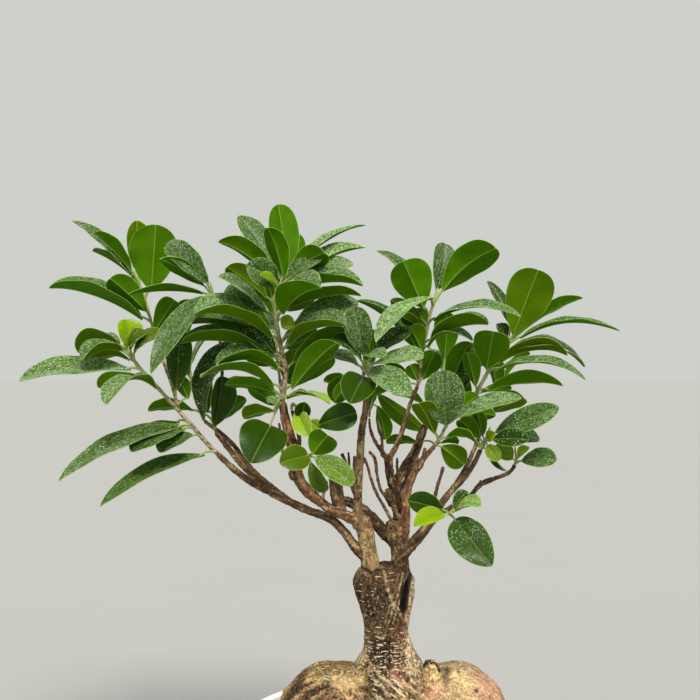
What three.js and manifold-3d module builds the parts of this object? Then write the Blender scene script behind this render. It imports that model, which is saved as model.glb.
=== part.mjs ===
// A chinese banyan bonsai: swollen roots, a cut trunk with two grafted leaders, bare crooked
// branches and leafy green shoots, growing in the soil of a round white glazed pot.
import * as THREE from 'three';
import Module from 'manifold-3d';
import { mergeVertices } from 'three/addons/utils/BufferGeometryUtils.js';

const wasm = await Module();
wasm.setup();

// Driving dimensions, in millimetres
const POT_RIM_RADIUS = 91;
const POT_HEIGHT = 84;
const POT_FOOT_RADIUS = 60;
const POT_WALL = 5;
const POT_FLOOR = 6;
const POT_BELLY_RADIUS = 78.5;
const POT_BELLY_HEIGHT = 30.24;
const POT_SHOULDER_RADIUS = 89;
const POT_SHOULDER_HEIGHT = 63;
const LIP_RISE = 1;
const POT_SIDES = 24;
const DRAIN_HOLES = [[26, 0], [-26, 0]];
const DRAIN_RADIUS = 6;
const DRAIN_SIDES = 12;
const CUTTER_LENGTH = 24;
const SOIL_DEPTH = POT_HEIGHT - 9;
const CLEARANCE = 0.35;
const PLANT_SHIFT = 4;
const NET_LENGTH = 76;
const NET_WIDTH = 20;
const NET_THICKNESS = 1.2;
const SLOT_WIDTH = 2;
const GROOVE_WIDTH = 8;
const GROOVE_DEPTH = 1.5;
const LEAF_THICKNESS = 0.7;
const RIB_DEPTH = 0.2;
const PETIOLE = 7;
const PETIOLE_SHARE = 0.2;
const STALK_HALF_WIDTH = 0.7;
const STALK_HALF_HEIGHT = 0.6;
const STEM_SAMPLES = 50;
const GOLDEN_ANGLE = 137.5;
const MERGE_DISTANCE = 1e-5;
const EYE_HEIGHT = 310.8;
const EYE_DISTANCE = 583.3;
const EYE_SIDE = -24;

const GLAZE = new THREE.MeshStandardMaterial({ color: 0xf2f1ec, roughness: 0.25, metalness: 0 });
const EARTH = new THREE.MeshStandardMaterial({ color: 0x3d2c20, roughness: 1, metalness: 0 });
const BARK = new THREE.MeshStandardMaterial({ color: 0x7a5f45, roughness: 0.9, metalness: 0 });
const LEAF = new THREE.MeshStandardMaterial({ color: 0x3f7a12, roughness: 0.4, metalness: 0 });
const NET = new THREE.MeshStandardMaterial({ color: 0x24362b, roughness: 0.6, metalness: 0 });

// Solids: a closed mesh with its shared corners merged, for joining and cutting
function solidOf(geometry) {
  geometry.deleteAttribute('normal');
  geometry.deleteAttribute('uv');
  const merged = mergeVertices(geometry, MERGE_DISTANCE);
  const corners = new Float32Array(merged.attributes.position.array);
  const faces = new Uint32Array(merged.index.array);
  return new wasm.Manifold(new wasm.Mesh({ numProp: 3, vertProperties: corners, triVerts: faces }));
}

function pieceOf(solid, name, material) {
  const found = solid.getMesh();
  const geometry = new THREE.BufferGeometry();
  geometry.setAttribute('position', new THREE.BufferAttribute(found.vertProperties, found.numProp));
  geometry.setIndex(new THREE.BufferAttribute(found.triVerts, 1));
  geometry.computeVertexNormals();
  const piece = new THREE.Mesh(geometry, material);
  piece.name = name;
  return piece;
}

// Places on the plant are given as they line up when the tree is looked at from the front: across
// and up on the plane through the trunk, and how far behind that plane the place really is
const eye = new THREE.Vector3(EYE_SIDE + PLANT_SHIFT, -EYE_DISTANCE, EYE_HEIGHT);

function seen(across, up, behind) {
  const place = new THREE.Vector3(across + PLANT_SHIFT, 0, up).sub(eye);
  return place.multiplyScalar((EYE_DISTANCE + behind) / EYE_DISTANCE).add(eye);
}

// A branch or a green stem: a cylinder bent along its route, thinner towards its end
function routeOf(points) {
  const places = points.map(([across, up, behind]) => seen(across, up, behind));
  return new THREE.CatmullRomCurve3(places, false, 'centripetal');
}

function branch(points, sides) {
  const steps = points.length - 1;
  const route = routeOf(points);
  const tube = new THREE.CylinderGeometry(1, 1, 1, sides, steps);
  const spots = tube.attributes.position;
  const sideways = new THREE.Vector3();
  const upwards = new THREE.Vector3();
  for (let i = 0; i < spots.count; i += 1) {
    const along = 0.5 - spots.getY(i);
    const place = along * steps;
    const first = Math.min(Math.floor(place), steps - 1);
    const radius = THREE.MathUtils.lerp(points[first][3], points[first + 1][3], place - first);
    const middle = route.getPoint(along);
    const heading = route.getTangent(along);
    sideways.set(0, 1, 0).cross(heading).normalize();
    upwards.crossVectors(heading, sideways);
    middle.addScaledVector(sideways, spots.getX(i) * radius);
    middle.addScaledVector(upwards, spots.getZ(i) * radius);
    spots.setXYZ(i, middle.x, middle.y, middle.z);
  }
  return solidOf(tube);
}

// A leaf: an obovate blade with its midrib sunk between two raised halves, on a short stalk that
// starts on the stem. Both faces are split into triangles alike.
const BLADE_STATIONS = [0.36, 0.78];
const LONG_BLADE_STATIONS = [0.28, 0.6, 0.87];
const LONG_BLADE = 62;
const RISING = 0.9;
const FALLING = 0.55;
const WIDEST = RISING / (RISING + FALLING);

function bladeHalf(along) {
  const share = (along / WIDEST) ** RISING;
  return share * ((1 - along) / (1 - WIDEST)) ** FALLING;
}

function leaf(foot, tip, upper, width, arch, fold, stems) {
  const length = foot.distanceTo(tip);
  const middle = foot.clone().lerp(tip, 0.5);
  const rib = new THREE.QuadraticBezierCurve3(foot, middle.addScaledVector(upper, 2 * arch), tip);
  const stalk = Math.min(PETIOLE, PETIOLE_SHARE * length) / length;
  const half = 0.5 * LEAF_THICKNESS;
  const corners = [];

  function ring(place, heading, spots) {
    const normal = upper.clone().addScaledVector(heading, -upper.dot(heading)).normalize();
    const across = heading.clone().cross(normal);
    for (const [out, up] of spots) {
      const corner = place.clone().addScaledVector(across, out).addScaledVector(normal, up);
      corners.push(corner.x, corner.y, corner.z);
    }
  }

  const start = rib.getPoint(stalk);
  const root = nearestOn(stems, start);
  const [wide, high] = [STALK_HALF_WIDTH, STALK_HALF_HEIGHT];
  const round = [[-wide, 0], [0, high], [wide, 0], [0, -high]];
  ring(root, start.clone().sub(root).normalize(), round);
  ring(start, rib.getTangent(stalk), round);
  const stations = length > LONG_BLADE ? LONG_BLADE_STATIONS : BLADE_STATIONS;
  for (const along of stations) {
    const spot = stalk + (1 - stalk) * along;
    const out = 0.5 * width * bladeHalf(along);
    const rise = fold * out;
    const top = [[-out, rise + half], [0, half], [out, rise + half]];
    const bottom = [[out, rise - half], [0, -half - RIB_DEPTH], [-out, rise - half]];
    ring(rib.getPoint(spot), rib.getTangent(spot), [...top, ...bottom]);
  }
  ring(tip, rib.getTangent(1), [[0, half], [0, -half]]);

  const faces = [3, 2, 1, 3, 1, 0];
  for (let j = 0; j < 4; j += 1) {
    const next = (j + 1) % 4;
    faces.push(j, next, 4 + j, next, 4 + next, 4 + j);
  }
  faces.push(4, 5, 8, 5, 9, 8, 5, 6, 10, 5, 10, 9, 6, 11, 10);
  faces.push(6, 7, 11, 7, 12, 11, 7, 4, 13, 7, 13, 12, 4, 8, 13);
  let first = 8;
  for (let k = 1; k < stations.length; k += 1) {
    const [tl, tm, tr, br, bm, bl] = [0, 1, 2, 3, 4, 5].map((j) => first + j);
    faces.push(tl, tm, tl + 6, tm, tm + 6, tl + 6, tm, tr, tr + 6, tm, tr + 6, tm + 6);
    faces.push(tr, br, br + 6, tr, br + 6, tr + 6, br, bm, br + 6, bm, bm + 6, br + 6);
    faces.push(bm, bl, bl + 6, bm, bl + 6, bm + 6, bl, tl, tl + 6, bl, tl + 6, bl + 6);
    first += 6;
  }
  const [point, under] = [first + 6, first + 7];
  faces.push(first, first + 1, point, first + 1, first + 2, point);
  faces.push(first + 2, first + 3, under, first + 2, under, point);
  faces.push(first + 3, first + 4, under, first + 4, first + 5, under);
  faces.push(first + 5, first, point, first + 5, point, under);
  const geometry = new THREE.BufferGeometry();
  geometry.setAttribute('position', new THREE.Float32BufferAttribute(corners, 3));
  geometry.setIndex(faces);
  return solidOf(geometry);
}

function nearestOn(stems, place) {
  let best = stems[0].getPoint(0.5);
  for (const route of stems) {
    for (let step = 2; step <= STEM_SAMPLES - 2; step += 1) {
      const spot = route.getPoint(step / STEM_SAMPLES);
      if (spot.distanceTo(place) < best.distanceTo(place)) {
        best = spot;
      }
    }
  }
  return best;
}

// A leaf that the front view shows: its foot and tip as seen, its width as seen, and how far its
// upper side is turned from the viewer about the line from foot to tip
function leafSeen(row, stems) {
  const [footX, footZ, footY, tipX, tipZ, tipY, seenWidth, turn, arch, fold = 0.2] = row;
  const foot = seen(footX, footZ, footY);
  const tip = seen(tipX, tipZ, tipY);
  const middle = foot.clone().lerp(tip, 0.5);
  const chord = tip.clone().sub(foot).normalize();
  const facing = eye.clone().sub(middle).normalize();
  facing.addScaledVector(chord, -facing.dot(chord)).normalize();
  const side = chord.clone().cross(facing);
  const angle = THREE.MathUtils.degToRad(turn);
  const upper = facing.multiplyScalar(Math.cos(angle)).addScaledVector(side, Math.sin(angle));
  const width = seenWidth * (EYE_DISTANCE + middle.y) / EYE_DISTANCE;
  return leaf(foot, tip, upper, width, arch, fold, stems);
}

// The wood: routes of [across, up, behind, radius], from the thick end to the thin one
const LEADERS = {
  leftLeader: [[-12, 170, 0, 6], [-12, 182, 0, 5.6], [-13, 191, 0, 5], [-14.5, 200, 0, 5.2],
    [-17, 209, 0, 5]],
  rightLeader: [[5, 170, 0, 6.5], [6, 183, 0, 5.4], [5, 192, 0, 4.6], [3, 200, 0, 6], [2, 208, 1, 4.5]],
};
const BRANCHES = {
  redLimb: [[-15, 206, 0, 4.6], [-24, 210.5, -2, 3.2], [-34, 214, -4, 2.6], [-43, 220, -5, 2.5],
    [-51, 227, -6, 3], [-55.5, 236, -6, 3.6], [-57, 246, -6, 3.6], [-59.5, 257, -6, 3.3],
    [-62.5, 268, -5, 2.8], [-64.5, 279, -5, 2.3]],
  lowLimb: [[-15, 188, 1, 4.4], [-21, 193, 2, 3.2], [-27, 201, 3, 2.7], [-35, 209, 3, 2.6],
    [-50, 215, 2, 2.5], [-63, 221, 1, 2.4], [-72, 225.5, 0, 2.2], [-84, 232, -1, 2],
    [-95, 240.5, -2, 1.9], [-103, 248, -3, 1.7]],
  upperLimb: [[-60, 220, 1, 2], [-68, 225.5, 4, 2.2], [-78, 232, 7, 2.1], [-88, 241, 9, 1.9],
    [-97, 252, 10, 1.8], [-104.5, 261.5, 10, 1.5]],
  straightLeader: [[-19, 204, -1, 3.4], [-19.6, 215, -3, 2.7], [-19, 230, -4, 2.4], [-18, 246, -5, 2.3],
    [-17, 262, -5, 2.2], [-14.7, 276, -5, 2], [-14.8, 285, -5, 1.7], [-16, 292, -5, 1.4]],
  crossLimb: [[4, 195, 1, 4.4], [-4, 202, 3, 3.8], [-11, 210, 4, 3.5], [-19, 217, 5, 3.2],
    [-26, 220, 5, 2.8], [-32, 221, 5, 2]],
  darkLeader: [[4, 200, 2, 4], [4, 212, 3, 3.4], [2.5, 224, 3, 3.6], [0, 236, 3, 2.6], [-1, 246, 3, 2.6]],
  darkLeft: [[-1, 245, 3, 2], [-5, 250, 4, 1.3], [-9.5, 257, 5, 1.1], [-12, 264, 5, 0.9],
    [-12.4, 270, 5, 0.8]],
  darkRight: [[-1, 245, 3, 2.4], [1.5, 249, 4, 1.7], [5, 256, 5, 1.6], [9, 268, 6, 1.4], [12, 278, 7, 1.2],
    [16.5, 289, 8, 1.1]],
  heavyLimb: [[3, 222, 4, 3], [4.5, 232, 5, 2.8], [9, 241, 6, 2.7], [15, 250.5, 7, 2.5], [18.5, 260, 8, 2],
    [22, 268.5, 8, 1.5]],
  peeledLimb: [[8, 197, -1, 3.2], [9.4, 210, -3, 2.8], [9.6, 222, -5, 2.6], [12.5, 233, -6, 2.4],
    [18, 243, -6, 2], [23, 249, -6, 1.6], [26.5, 253, -6, 1.4]],
  rightLimb: [[4, 184, -1, 4], [11, 192, -3, 3.6], [18, 199.5, -5, 3.2], [25, 208.5, -6, 2.6],
    [32, 220.5, -7, 2.1], [39, 228.5, -8, 1.9], [46, 236, -8, 1.8], [51, 244, -8, 1.6],
    [54.5, 251, -8, 1.4]],
  lowRightLimb: [[27, 211, -5, 1.8], [38, 217, -2, 1.5], [48, 223, 1, 1.5], [53.5, 229.5, 3, 1.5],
    [57.5, 231.8, 3, 1.8], [65, 234.5, 4, 1.2], [71.5, 237.3, 4, 1.2], [74.8, 241.5, 4, 1.2]],
  kneeTwig: [[27, 211, -6, 1.8], [31, 212.5, -11, 1.4], [34.5, 213, -16, 1.2]],
  backLimb: [[4, 206, 3, 3], [7, 222, 12, 2.4], [12, 238, 24, 2], [18, 254, 36, 1.6], [23, 268, 46, 1.3]],
  backLeft: [[-17, 206, 3, 3], [-40, 219, 14, 2.4], [-56, 238, 26, 2], [-61, 258, 36, 1.6],
    [-64, 275, 44, 1.3]],
  backMiddle: [[-18.5, 210, 2, 2.4], [-19, 232, 14, 1.8], [-18, 256, 26, 1.5], [-15, 278, 36, 1.2]],
  farLeftLimb: [[-66, 224, 2, 2.2], [-82, 238, 16, 1.8], [-96, 256, 30, 1.5], [-111, 268, 40, 1.3]],
  farRightLimb: [[30, 217, -6, 1.9], [42, 234, 8, 1.6], [50, 250, 24, 1.4], [55, 263, 36, 1.2]],
};
// Pruned stubs and dead twigs
const STUBS = [
  [[-4.6, 247, 4, 1.2], [-4.8, 257, 5, 0.9], [-7.4, 269, 5, 0.8]],
  [[1, 219, 3, 1.3], [-5, 226, 3, 1], [-8, 237, 0, 1], [-9.3, 246, 0, 1.1], [-12.4, 250, 0, 1]],
  [[4, 203, 0, 1.3], [-2, 214, -3, 1], [-9, 227, -4, 1], [-15, 246, -4, 0.9]],
  [[-20, 222, -3, 1.6], [-24, 233, -1, 1.1], [-26, 242, 0, 1], [-28.8, 248.5, 0, 1]],
  [[-19.6, 225, -2.5, 1.4], [-23.8, 238, 2, 0.9], [-25, 249.5, 2, 0.8]],
  [[-19, 222, -6, 1.4], [-21.6, 238, -9, 0.9], [-21.2, 247, -9, 1.1]],
  [[-29, 213, -1, 3.4], [-31.5, 222, 4, 4.2], [-33, 234, 6, 4]],
  [[-41, 218, -4.4, 1.4], [-39.6, 225, -7, 0.9], [-37.5, 232, -8, 0.8]],
  [[6.5, 232, 3, 1.4], [4.4, 239, 1, 1], [4.3, 246, 0, 0.9]],
  [[24, 209, -6, 1.6], [28.5, 229, -9, 1.1], [32, 240.5, -10, 1]],
  [[-53, 229, -6, 2], [-57, 237, -3, 1.1], [-63.5, 245, -2, 0.9], [-65, 255, -2, 0.9],
    [-66.5, 267, -2, 0.7]],
  [[-56.5, 248, -7, 2], [-54.5, 257, -9, 1.4], [-56.5, 266, -8, 1.3], [-58.8, 274.5, -7, 1.1]],
  [[15, 247, -6, 1.6], [18, 240, -8, 1.3], [21, 252, -9, 1.1]],
];

// The green shoots: a stem route, then leaves as [foot across, up, behind, tip across, up, behind,
// width, turn of the upper side, arch of the midrib, fold along the midrib]
const SPRAYS = {
  spray_left: {
    stems: [
      [[-103.4, 248.4, -3, 1.6], [-110, 255, -4, 1.5], [-118, 264.5, -5, 1.4], [-127, 274.5, -6, 1.4],
        [-136, 284.5, -7, 1.3], [-145, 294.5, -8, 1.3], [-151, 301, -9, 1.3], [-157, 310, -9, 0.9]],
      [[-127, 274.5, -6, 1.3], [-130, 287, 0, 1.2], [-136, 304, 6, 1.1], [-142, 323, 10, 1.1],
        [-147, 341, 11, 1], [-152, 355, 10, 0.8]],
    ],
    leaves: [
      [-106, 249, -5, -174, 217, -30, 20, 62, 8], [-118, 266, -6, -200, 232.8, -34, 21, 60, 10],
      [-118, 264, -8, -156, 251, -30, 22, 58, 3], [-114, 260, -6, -139, 250.3, -24, 16, 50, 3],
      [-121, 268, 2, -156.5, 257, 6, 16, 100, 3], [-150, 299, -10, -223, 294, -26, 24, 62, 5, 0.3],
      [-136, 283.5, -10, -171, 279, -48, 20, 86, 12], [-148, 296, -6, -175, 289, 2, 15, 120, 2],
      [-156, 309, -11, -184, 304, -26, 18, 78, 5, 0.7], [-152, 302, -8, -182, 303, -8, 18, 112, 6],
      [-158, 310.5, -8, -186, 308.5, 2, 20, 100, 8, 0.5], [-155, 306, -10, -136, 321, -18, 14, -60, 4],
      [-129, 281, -6, -126, 324, 2, 16, 10, 2],
      [-150, 350, 10, -190, 389, 14, 22, 72, 2], [-152, 354, 8, -177.5, 381, 0, 15, 112, 2, 0.4],
      [-152, 353, 12, -178.5, 370.5, 10, 16, 96, 2], [-144, 326, 10, -204.5, 349.5, -4, 22, 80, 5, 0.75],
      [-142, 330, 8, -168, 354, -6, 17, 160, 2], [-150, 349, 14, -152, 388.5, 10, 15, 172, 1],
      [-143.5, 341, 10, -140.5, 386, 8, 29, 180, 2], [-144, 318, 8, -129, 341, 0, 15, 176, 2],
      [-157, 309, -9, -159, 329, -10, 16, 25, 2, 0.5], [-157, 309, -9, -146, 321, -16, 12, -60, 2, 0.5],
    ],
  },
  spray_left_back: {
    stems: [[[-105.3, 262.7, 10, 1.4], [-104, 276, 11, 1.3], [-101, 292, 12, 1.3], [-101, 308, 12, 1.2],
      [-103, 322, 11, 1.1], [-105, 336, 9, 1.1], [-107, 347, 7, 0.9]]],
    leaves: [
      [-110, 263, 6, -92, 318, 16, 18, -46, 14], [-107, 260, 7, -101, 295, 0, 17, 30, 2, 0.5],
      [-108, 268, 10, -112, 302, 16, 14, -150, 3], [-103, 266, 10, -86.5, 282, 16, 12, -140, 2],
      [-108, 346, 6, -138, 365.5, -20, 12, 150, 4], [-106, 346, 8, -135, 373.5, -10, 20, 45, 3],
      [-108, 346, 4, -144, 297, -42, 16.5, 34, 4, 0.35], [-107, 344, 6, -157, 344, -14, 18, 101, 3],
      [-106, 343, 8, -116, 335, 12, 9, 170, 1],
    ],
  },
  spray_centre_left: {
    stems: [[[-64.7, 280.2, -5, 2], [-63.4, 290, -6, 1.8], [-62.4, 298, -7, 1.7], [-64, 306, -7, 1.6],
      [-66, 315, -7, 1.5], [-67.5, 324, -8, 1.4], [-69, 332, -8, 1.4], [-69.5, 341, -8, 1.3],
      [-66, 350, -7, 0.9]]],
    leaves: [
      [-67, 314, -10, -118, 333, -34, 25, 76, 7, 0.75], [-70, 330, -8, -99, 347.5, -12, 15, 32, 3],
      [-66, 303, -7, -125, 315, -14, 21, 78, 7, 0.7], [-68, 317, -2, -131, 325, -2, 19, 72, 6, 0.6],
      [-66, 306, -4, -104, 324, 0, 16, 140, 4], [-66, 305, -8, -85, 324.5, -14, 14, 20, 2],
      [-63, 296, -9, -104, 301, -26, 20, 80, 7, 0.7], [-65, 285, -9, -114, 295, -32, 22, 104, 9],
      [-65, 284, -6, -99, 290, -12, 14, 122, 3], [-66, 275, -4, -85, 289, -2, 15, 150, 2, 0.4],
      [-66, 274, -3, -88, 270, 2, 15, 122, 2], [-70, 268, -8, -83.5, 243, -34, 29, 8, 3, 0.1],
      [-60, 351, -5, -67, 398, 4, 18, 172, 2], [-63, 348, -8, -73, 385, -18, 15, 150, 3],
      [-66, 350, -5, -90, 392, 6, 20, 44, 2], [-66, 350, -9, -103, 377, -22, 17, 128, 4, 0.5],
      [-66, 350, -12, -86, 362, -34, 17, 18, 4], [-70, 338, -10, -98, 361, -24, 15, 160, 3],
      [-70, 329, -10, -102, 356, -30, 18, 72, 2], [-64, 351, -9, -39, 370, -22, 18, -160, 4],
      [-64, 356, -4, -54, 380, 8, 13, 178, 1], [-64, 355, -4, -15, 387.5, 14, 16, -76, 4],
      [-64, 350, -5, -15, 373, 6, 17, -66, 4, 0.5], [-65, 349, -10, -41, 368, -14, 15, -42, 3],
      [-64, 348, -8, -22, 363, -10, 17, -54, 3], [-66, 341, -9, -16, 350, -24, 18, -78, 6, 0.7],
      [-67, 333, -9, -17, 344.5, -18, 16, -112, 4, 0.4],
      [-66, 328, -13, -41.5, 348.5, -38, 22, -96, 5, 0.85],
      [-65, 316, -6, -19, 339.5, -8, 22, -50, 4, 0.4], [-64, 310, -8, -26, 325.5, -28, 22, -80, 6, 0.75],
      [-63, 299, -6, -24, 323, -14, 18, -138, 3], [-62, 283, -10, -32, 316, -28, 18, -145, 3, 0.4],
      [-62, 285, -7, -34, 307, -16, 15, -150, 3], [-63, 282, -8, -36, 279, -24, 13, -85, 4],
    ],
  },
  spray_centre_bud: {
    stems: [[[-59, 275.6, -7.1, 1.1], [-58.4, 278.4, -10, 1], [-53, 273, -16, 1], [-48, 267, -19, 0.9]]],
    leaves: [[-47, 264, -19, -20, 273, -24, 17, -12, 3], [-54, 267, -14, -51, 279.5, -26, 10, 0, 1],
      [-56, 276, -13, -49, 259.5, -30, 12, 12, 2, 0.45]],
  },
  spray_centre_front: {
    stems: [[[-55.4, 242.5, -10.2, 1.2], [-52, 245, -18, 1.1], [-48, 248, -30, 0.9]]],
    leaves: [
      [-47, 248, -30, -66, 243, -46, 16, 12, 2], [-48, 246, -29, -37, 260, -38, 18, -172, 2],
      [-48, 248, -30, -22, 230, -54, 14.5, -20, 4], [-49, 247, -28, -38, 226, -34, 11, 30, 2, 0.4],
    ],
  },
  spray_middle: {
    stems: [[[-16.1, 292.8, -5, 1.4], [-15.6, 298, -6, 1.2], [-15, 305, -7, 0.9]]],
    leaves: [
      [-15, 303, -9, -22, 337, -20, 17, 8, 3], [-16, 299, -6, -39, 308, 3, 16, 62, 3],
      [-15, 301, -9, -34, 318, -22, 14, 60, 3], [-15, 302, -10, -3, 306, -34, 12, -80, 5],
      [-14, 303, -6, 12, 322, -10, 16, -50, 3], [-14, 301, -9, 20, 307.5, -24, 18, -60, 2],
      [-15, 301, -12, 12.5, 284, -42, 17, -28, 3], [-15, 296, -10, -24, 279, -38, 21, 8, 3],
      [-17, 296, -4, -33, 281, -8, 12, 122, 2], [-18, 297, -3, -34, 279.5, 2, 16, 152, 3],
    ],
  },
  spray_back_centre: {
    stems: [[[-12.4, 270.8, 5, 0.8], [-12.3, 274, 5, 0.7], [-11.5, 277, 5, 0.6]]],
    leaves: [[-12.4, 272, 5, -8.6, 285.5, 8, 13, -122, 1]],
  },
  spray_right_top: {
    stems: [[[16.8, 289.7, 8, 1.1], [18.4, 300, 7, 1.1], [19.4, 311, 5, 1.1], [22, 322, 3, 1.1],
      [24, 332, 2, 1.1], [27.5, 342.5, 1, 0.9]]],
    leaves: [
      [22, 331, 0, 8, 364, -8, 25, 178, 2], [26, 340, 5, -8, 370.5, 16, 16, 66, 3],
      [28, 341, -1, 63.5, 372, -14, 24, -150, 8], [26, 341, 4, 33, 374.5, 12, 17, 30, 3],
      [30, 343, -2, -9, 316, -26, 18, 62, 6, 0.3],
      [22, 326, -2, 79, 332, -38, 16, -74, 8], [20, 312, -2, 59, 326.5, -18, 20, -92, 5, 0.7],
      [20, 308, 2, 12, 325, -6, 15, 172, 2], [20, 306, 0, 50, 317, -14, 15, -84, 10],
      [19, 305, 4, -20, 341, 8, 16, 76, 5, 0.6], [18, 290, 8, 27, 310, 10, 14, -176, 1],
      [16, 290, 9, -9, 284, 20, 12, 118, 3],
    ],
  },
  spray_right_back: {
    stems: [[[22.4, 269.6, 8.2, 1.3], [29, 274, 9, 1.3], [40, 278, 8, 1.3], [50, 283, 4, 1.3],
      [55, 291, 0, 1.3], [59, 298, -2, 1.3], [66, 309, -4, 1.2], [73, 318, -5, 0.9]]],
    leaves: [
      [57, 295, -4, 62, 322, -20, 22, 180, 2], [52, 285, 0, 46.5, 309.5, -6, 11, 160, 1],
      [72, 314, -6, 89, 359, -18, 28, -174, 3], [73, 317, -1, 115.5, 342.5, 4, 15, -116, 3, 0.3],
      [73, 315, -7, 138, 322, -16, 15, -82, 9, 0.3], [60, 299, -4, 107, 309, -12, 17, -108, 7, 0.4],
      [63, 304, -1, 117, 301, 2, 20, -70, 13], [58, 296, -6, 118, 294, -24, 17, -75, 9],
      [53, 284, -2, 104, 290, -18, 16, -120, 5, 0.4], [51, 284, 4, 73, 287.5, 6, 10, -122, 2],
      [74, 320, -2, 58.5, 353, 12, 11, 50, 2],
      [34, 282, 8, 48, 316, 0, 15, -140, 2, 0.5], [40, 278, 8, 54, 317, 12, 13, -30, 2],
      [50, 282, 6, 39, 291, 10, 13, 150, 1],
    ],
  },
  spray_right_front: {
    stems: [[[26.9, 253.6, -6.4, 1.3], [30, 258, -8, 1.2], [33.5, 265, -10, 1.1], [38, 271.5, -11, 0.8]]],
    leaves: [
      [34, 261, -12, 31, 298.5, -18, 24, 4, 3, 0.35], [28.5, 256, -9, 17, 279.5, -28, 15, 160, 3],
      [37, 270, -10, 53, 284, -8, 12, -150, 1], [35, 267, -12, 79, 282, -30, 16, -56, 4],
      [37, 270, -8, 63.5, 272, -6, 10, -150, 2], [29, 256, -8, 54, 252.5, -26, 15, -112, 6],
      [28, 255, -6, 44.5, 242, -10, 15, -168, 1],
    ],
  },
  spray_right_branch: {
    stems: [[[54.9, 251.8, -8, 1.3], [57, 255.5, -10, 1.2], [58.5, 260, -12, 0.8]]],
    leaves: [
      [58, 259, -14, 101.5, 276.5, -20, 15.5, -18, 2], [58.5, 257, -15, 83, 257, -38, 12, -24, 2],
      [56, 256, -9, 52, 275, -14, 9, 150, 1], [56, 255, -10, 41.5, 269.5, -14, 12, 150, 1],
      [57, 255, -14, 65.5, 244.5, -30, 9, 0, 1], [59, 259, -8, 90, 258, 0, 13, -40, 2],
    ],
  },
  spray_right_tip: {
    stems: [[[75.2, 242.5, 4, 1.2], [75.8, 245, 3, 1], [75.4, 248.5, 2, 0.7]]],
    leaves: [
      [75.5, 243.5, 3, 100, 245.5, -10, 13, -25, 2], [75, 243.5, 3, 64.5, 255, -3, 11, 10, 1],
    ],
  },
  spray_front_low: {
    stems: [[[34.9, 213, -16.6, 1.1], [36, 213, -19, 1], [36.6, 212.6, -22, 0.8]]],
    leaves: [
      [35, 214, -18, 10.5, 220.5, -40, 14.5, 14, 2],
      [36, 212, -20, 61, 181.5, -48, 22.5, -5, 3], [37, 213, -20, 54.5, 217.5, -34, 13, -62, 2, 0.5],
      [35, 212.5, -21, 14.5, 205.5, -48, 12, 30, 2, 0.5],
    ],
  },
};

// Green shoots on the limbs at the back: a stem as above, then the number of leaves, the length and
// width of the largest, and the turn of the first about the stem. The leaves stand from the lowest
// place to the highest, as shares of the stem, and lean from it by degrees that grow up the stem.
const LOWEST_LEAF = 0.12;
const HIGHEST_LEAF = 0.98;
const LEAST_LEAN = 12;
const LEAN_AT_TIP = 55;
const LEAN_SPREAD = 14;
const SHORTEST_LEAF = 0.72;
const ARCH_SHARE = 0.1;
const BACK_FOLD = 0.22;
const BACK_SPRAYS = {
  spray_back_left: {
    stem: [[-111.6, 268.6, 40.4, 1.2], [-117, 282, 47, 1.1], [-120, 298, 52, 1], [-122, 315, 54, 0.8]],
    leaves: [7, 38, 16, 200],
  },
  spray_back_centre_left: {
    stem: [[-64.2, 275.8, 44.3, 1.2], [-66, 292, 52, 1.1], [-68, 312, 60, 1], [-69, 334, 66, 0.8]],
    leaves: [8, 44, 18, 170],
  },
  spray_back_middle: {
    stem: [[-14.8, 278.8, 36.4, 1.1], [-13, 290, 44, 1], [-10, 304, 52, 0.8]],
    leaves: [5, 38, 16, 190],
  },
  spray_back_right: {
    stem: [[23.4, 268.8, 46.4, 1.2], [27, 280, 54, 1.1], [31, 293, 61, 1], [33, 306, 65, 0.8]],
    leaves: [8, 38, 17, 150],
  },
  spray_back_far_right: {
    stem: [[55.3, 263.7, 36.6, 1.1], [60, 274, 44, 1], [66, 287, 50, 0.8]],
    leaves: [5, 36, 16, 160],
  },
};

// The same draw for the same number each time, between 0 and 1
const DRAW_STEP = 12.9898;
const DRAW_SPREAD = 43758.5453;

function draw(number) {
  const spread = Math.sin(number * DRAW_STEP) * DRAW_SPREAD;
  return spread - Math.floor(spread);
}

// The trunk, from its cut top down to where the roots swell: rings of [up, left, right, half depth,
// rise from the left edge to the right one]
const TRUNK_RINGS = [
  [182, -19.5, 10, 13, 1], [173, -21.5, 14, 15, 2], [165, -20, 14.5, 15, 0], [156, -17.6, 12, 13, 0],
  [148, -16, 10.5, 12, 0], [140, -16, 11, 12, 0], [132, -16.6, 13.5, 13, 0], [126, -19.4, 17, 16, 0],
  [112, -30, 24, 24, 0], [92, -26, 26, 30, 0],
];
// Swollen roots: [across, behind, up, then half the size across, behind and up]
const ROOTS = [
  [-33, -2, 92, 34, 38, 31.5],
  [40, 2, 88.5, 31, 40, 32],
  [2, -20, 84, 24, 27, 34],
  [0, 26, 87, 26, 27, 33],
  [4, 0, 68, 44, 36, 27],
];
// A short stub of an old root between the lobes, and the cleft of the long scar, given as the roots are
const ROOT_STUB = [[23, 98, -4, 8], [24.5, 112, -10, 6.6], [24.8, 123, -12, 4.4]];
const CLEFT = [8.5, -12.5, 167, 2.6, 4.5, 9.5];
const ROOT_SIDES = 12;
const ROOT_LEVELS = 8;
const TRUNK_SIDES = 10;
const LEADER_SIDES = 8;
const LIMB_SIDES = 5;
const TWIG_SIDES = 4;
const WALL_STEPS = 4;

function ball([across, behind, up, halfAcross, halfBehind, halfUp], extra = 0) {
  const round = new THREE.SphereGeometry(1, ROOT_SIDES, ROOT_LEVELS);
  round.rotateX(Math.PI / 2);
  round.scale(halfAcross + extra, halfBehind + extra, halfUp + extra);
  round.translate(across + PLANT_SHIFT, behind, up);
  return solidOf(round);
}

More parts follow.
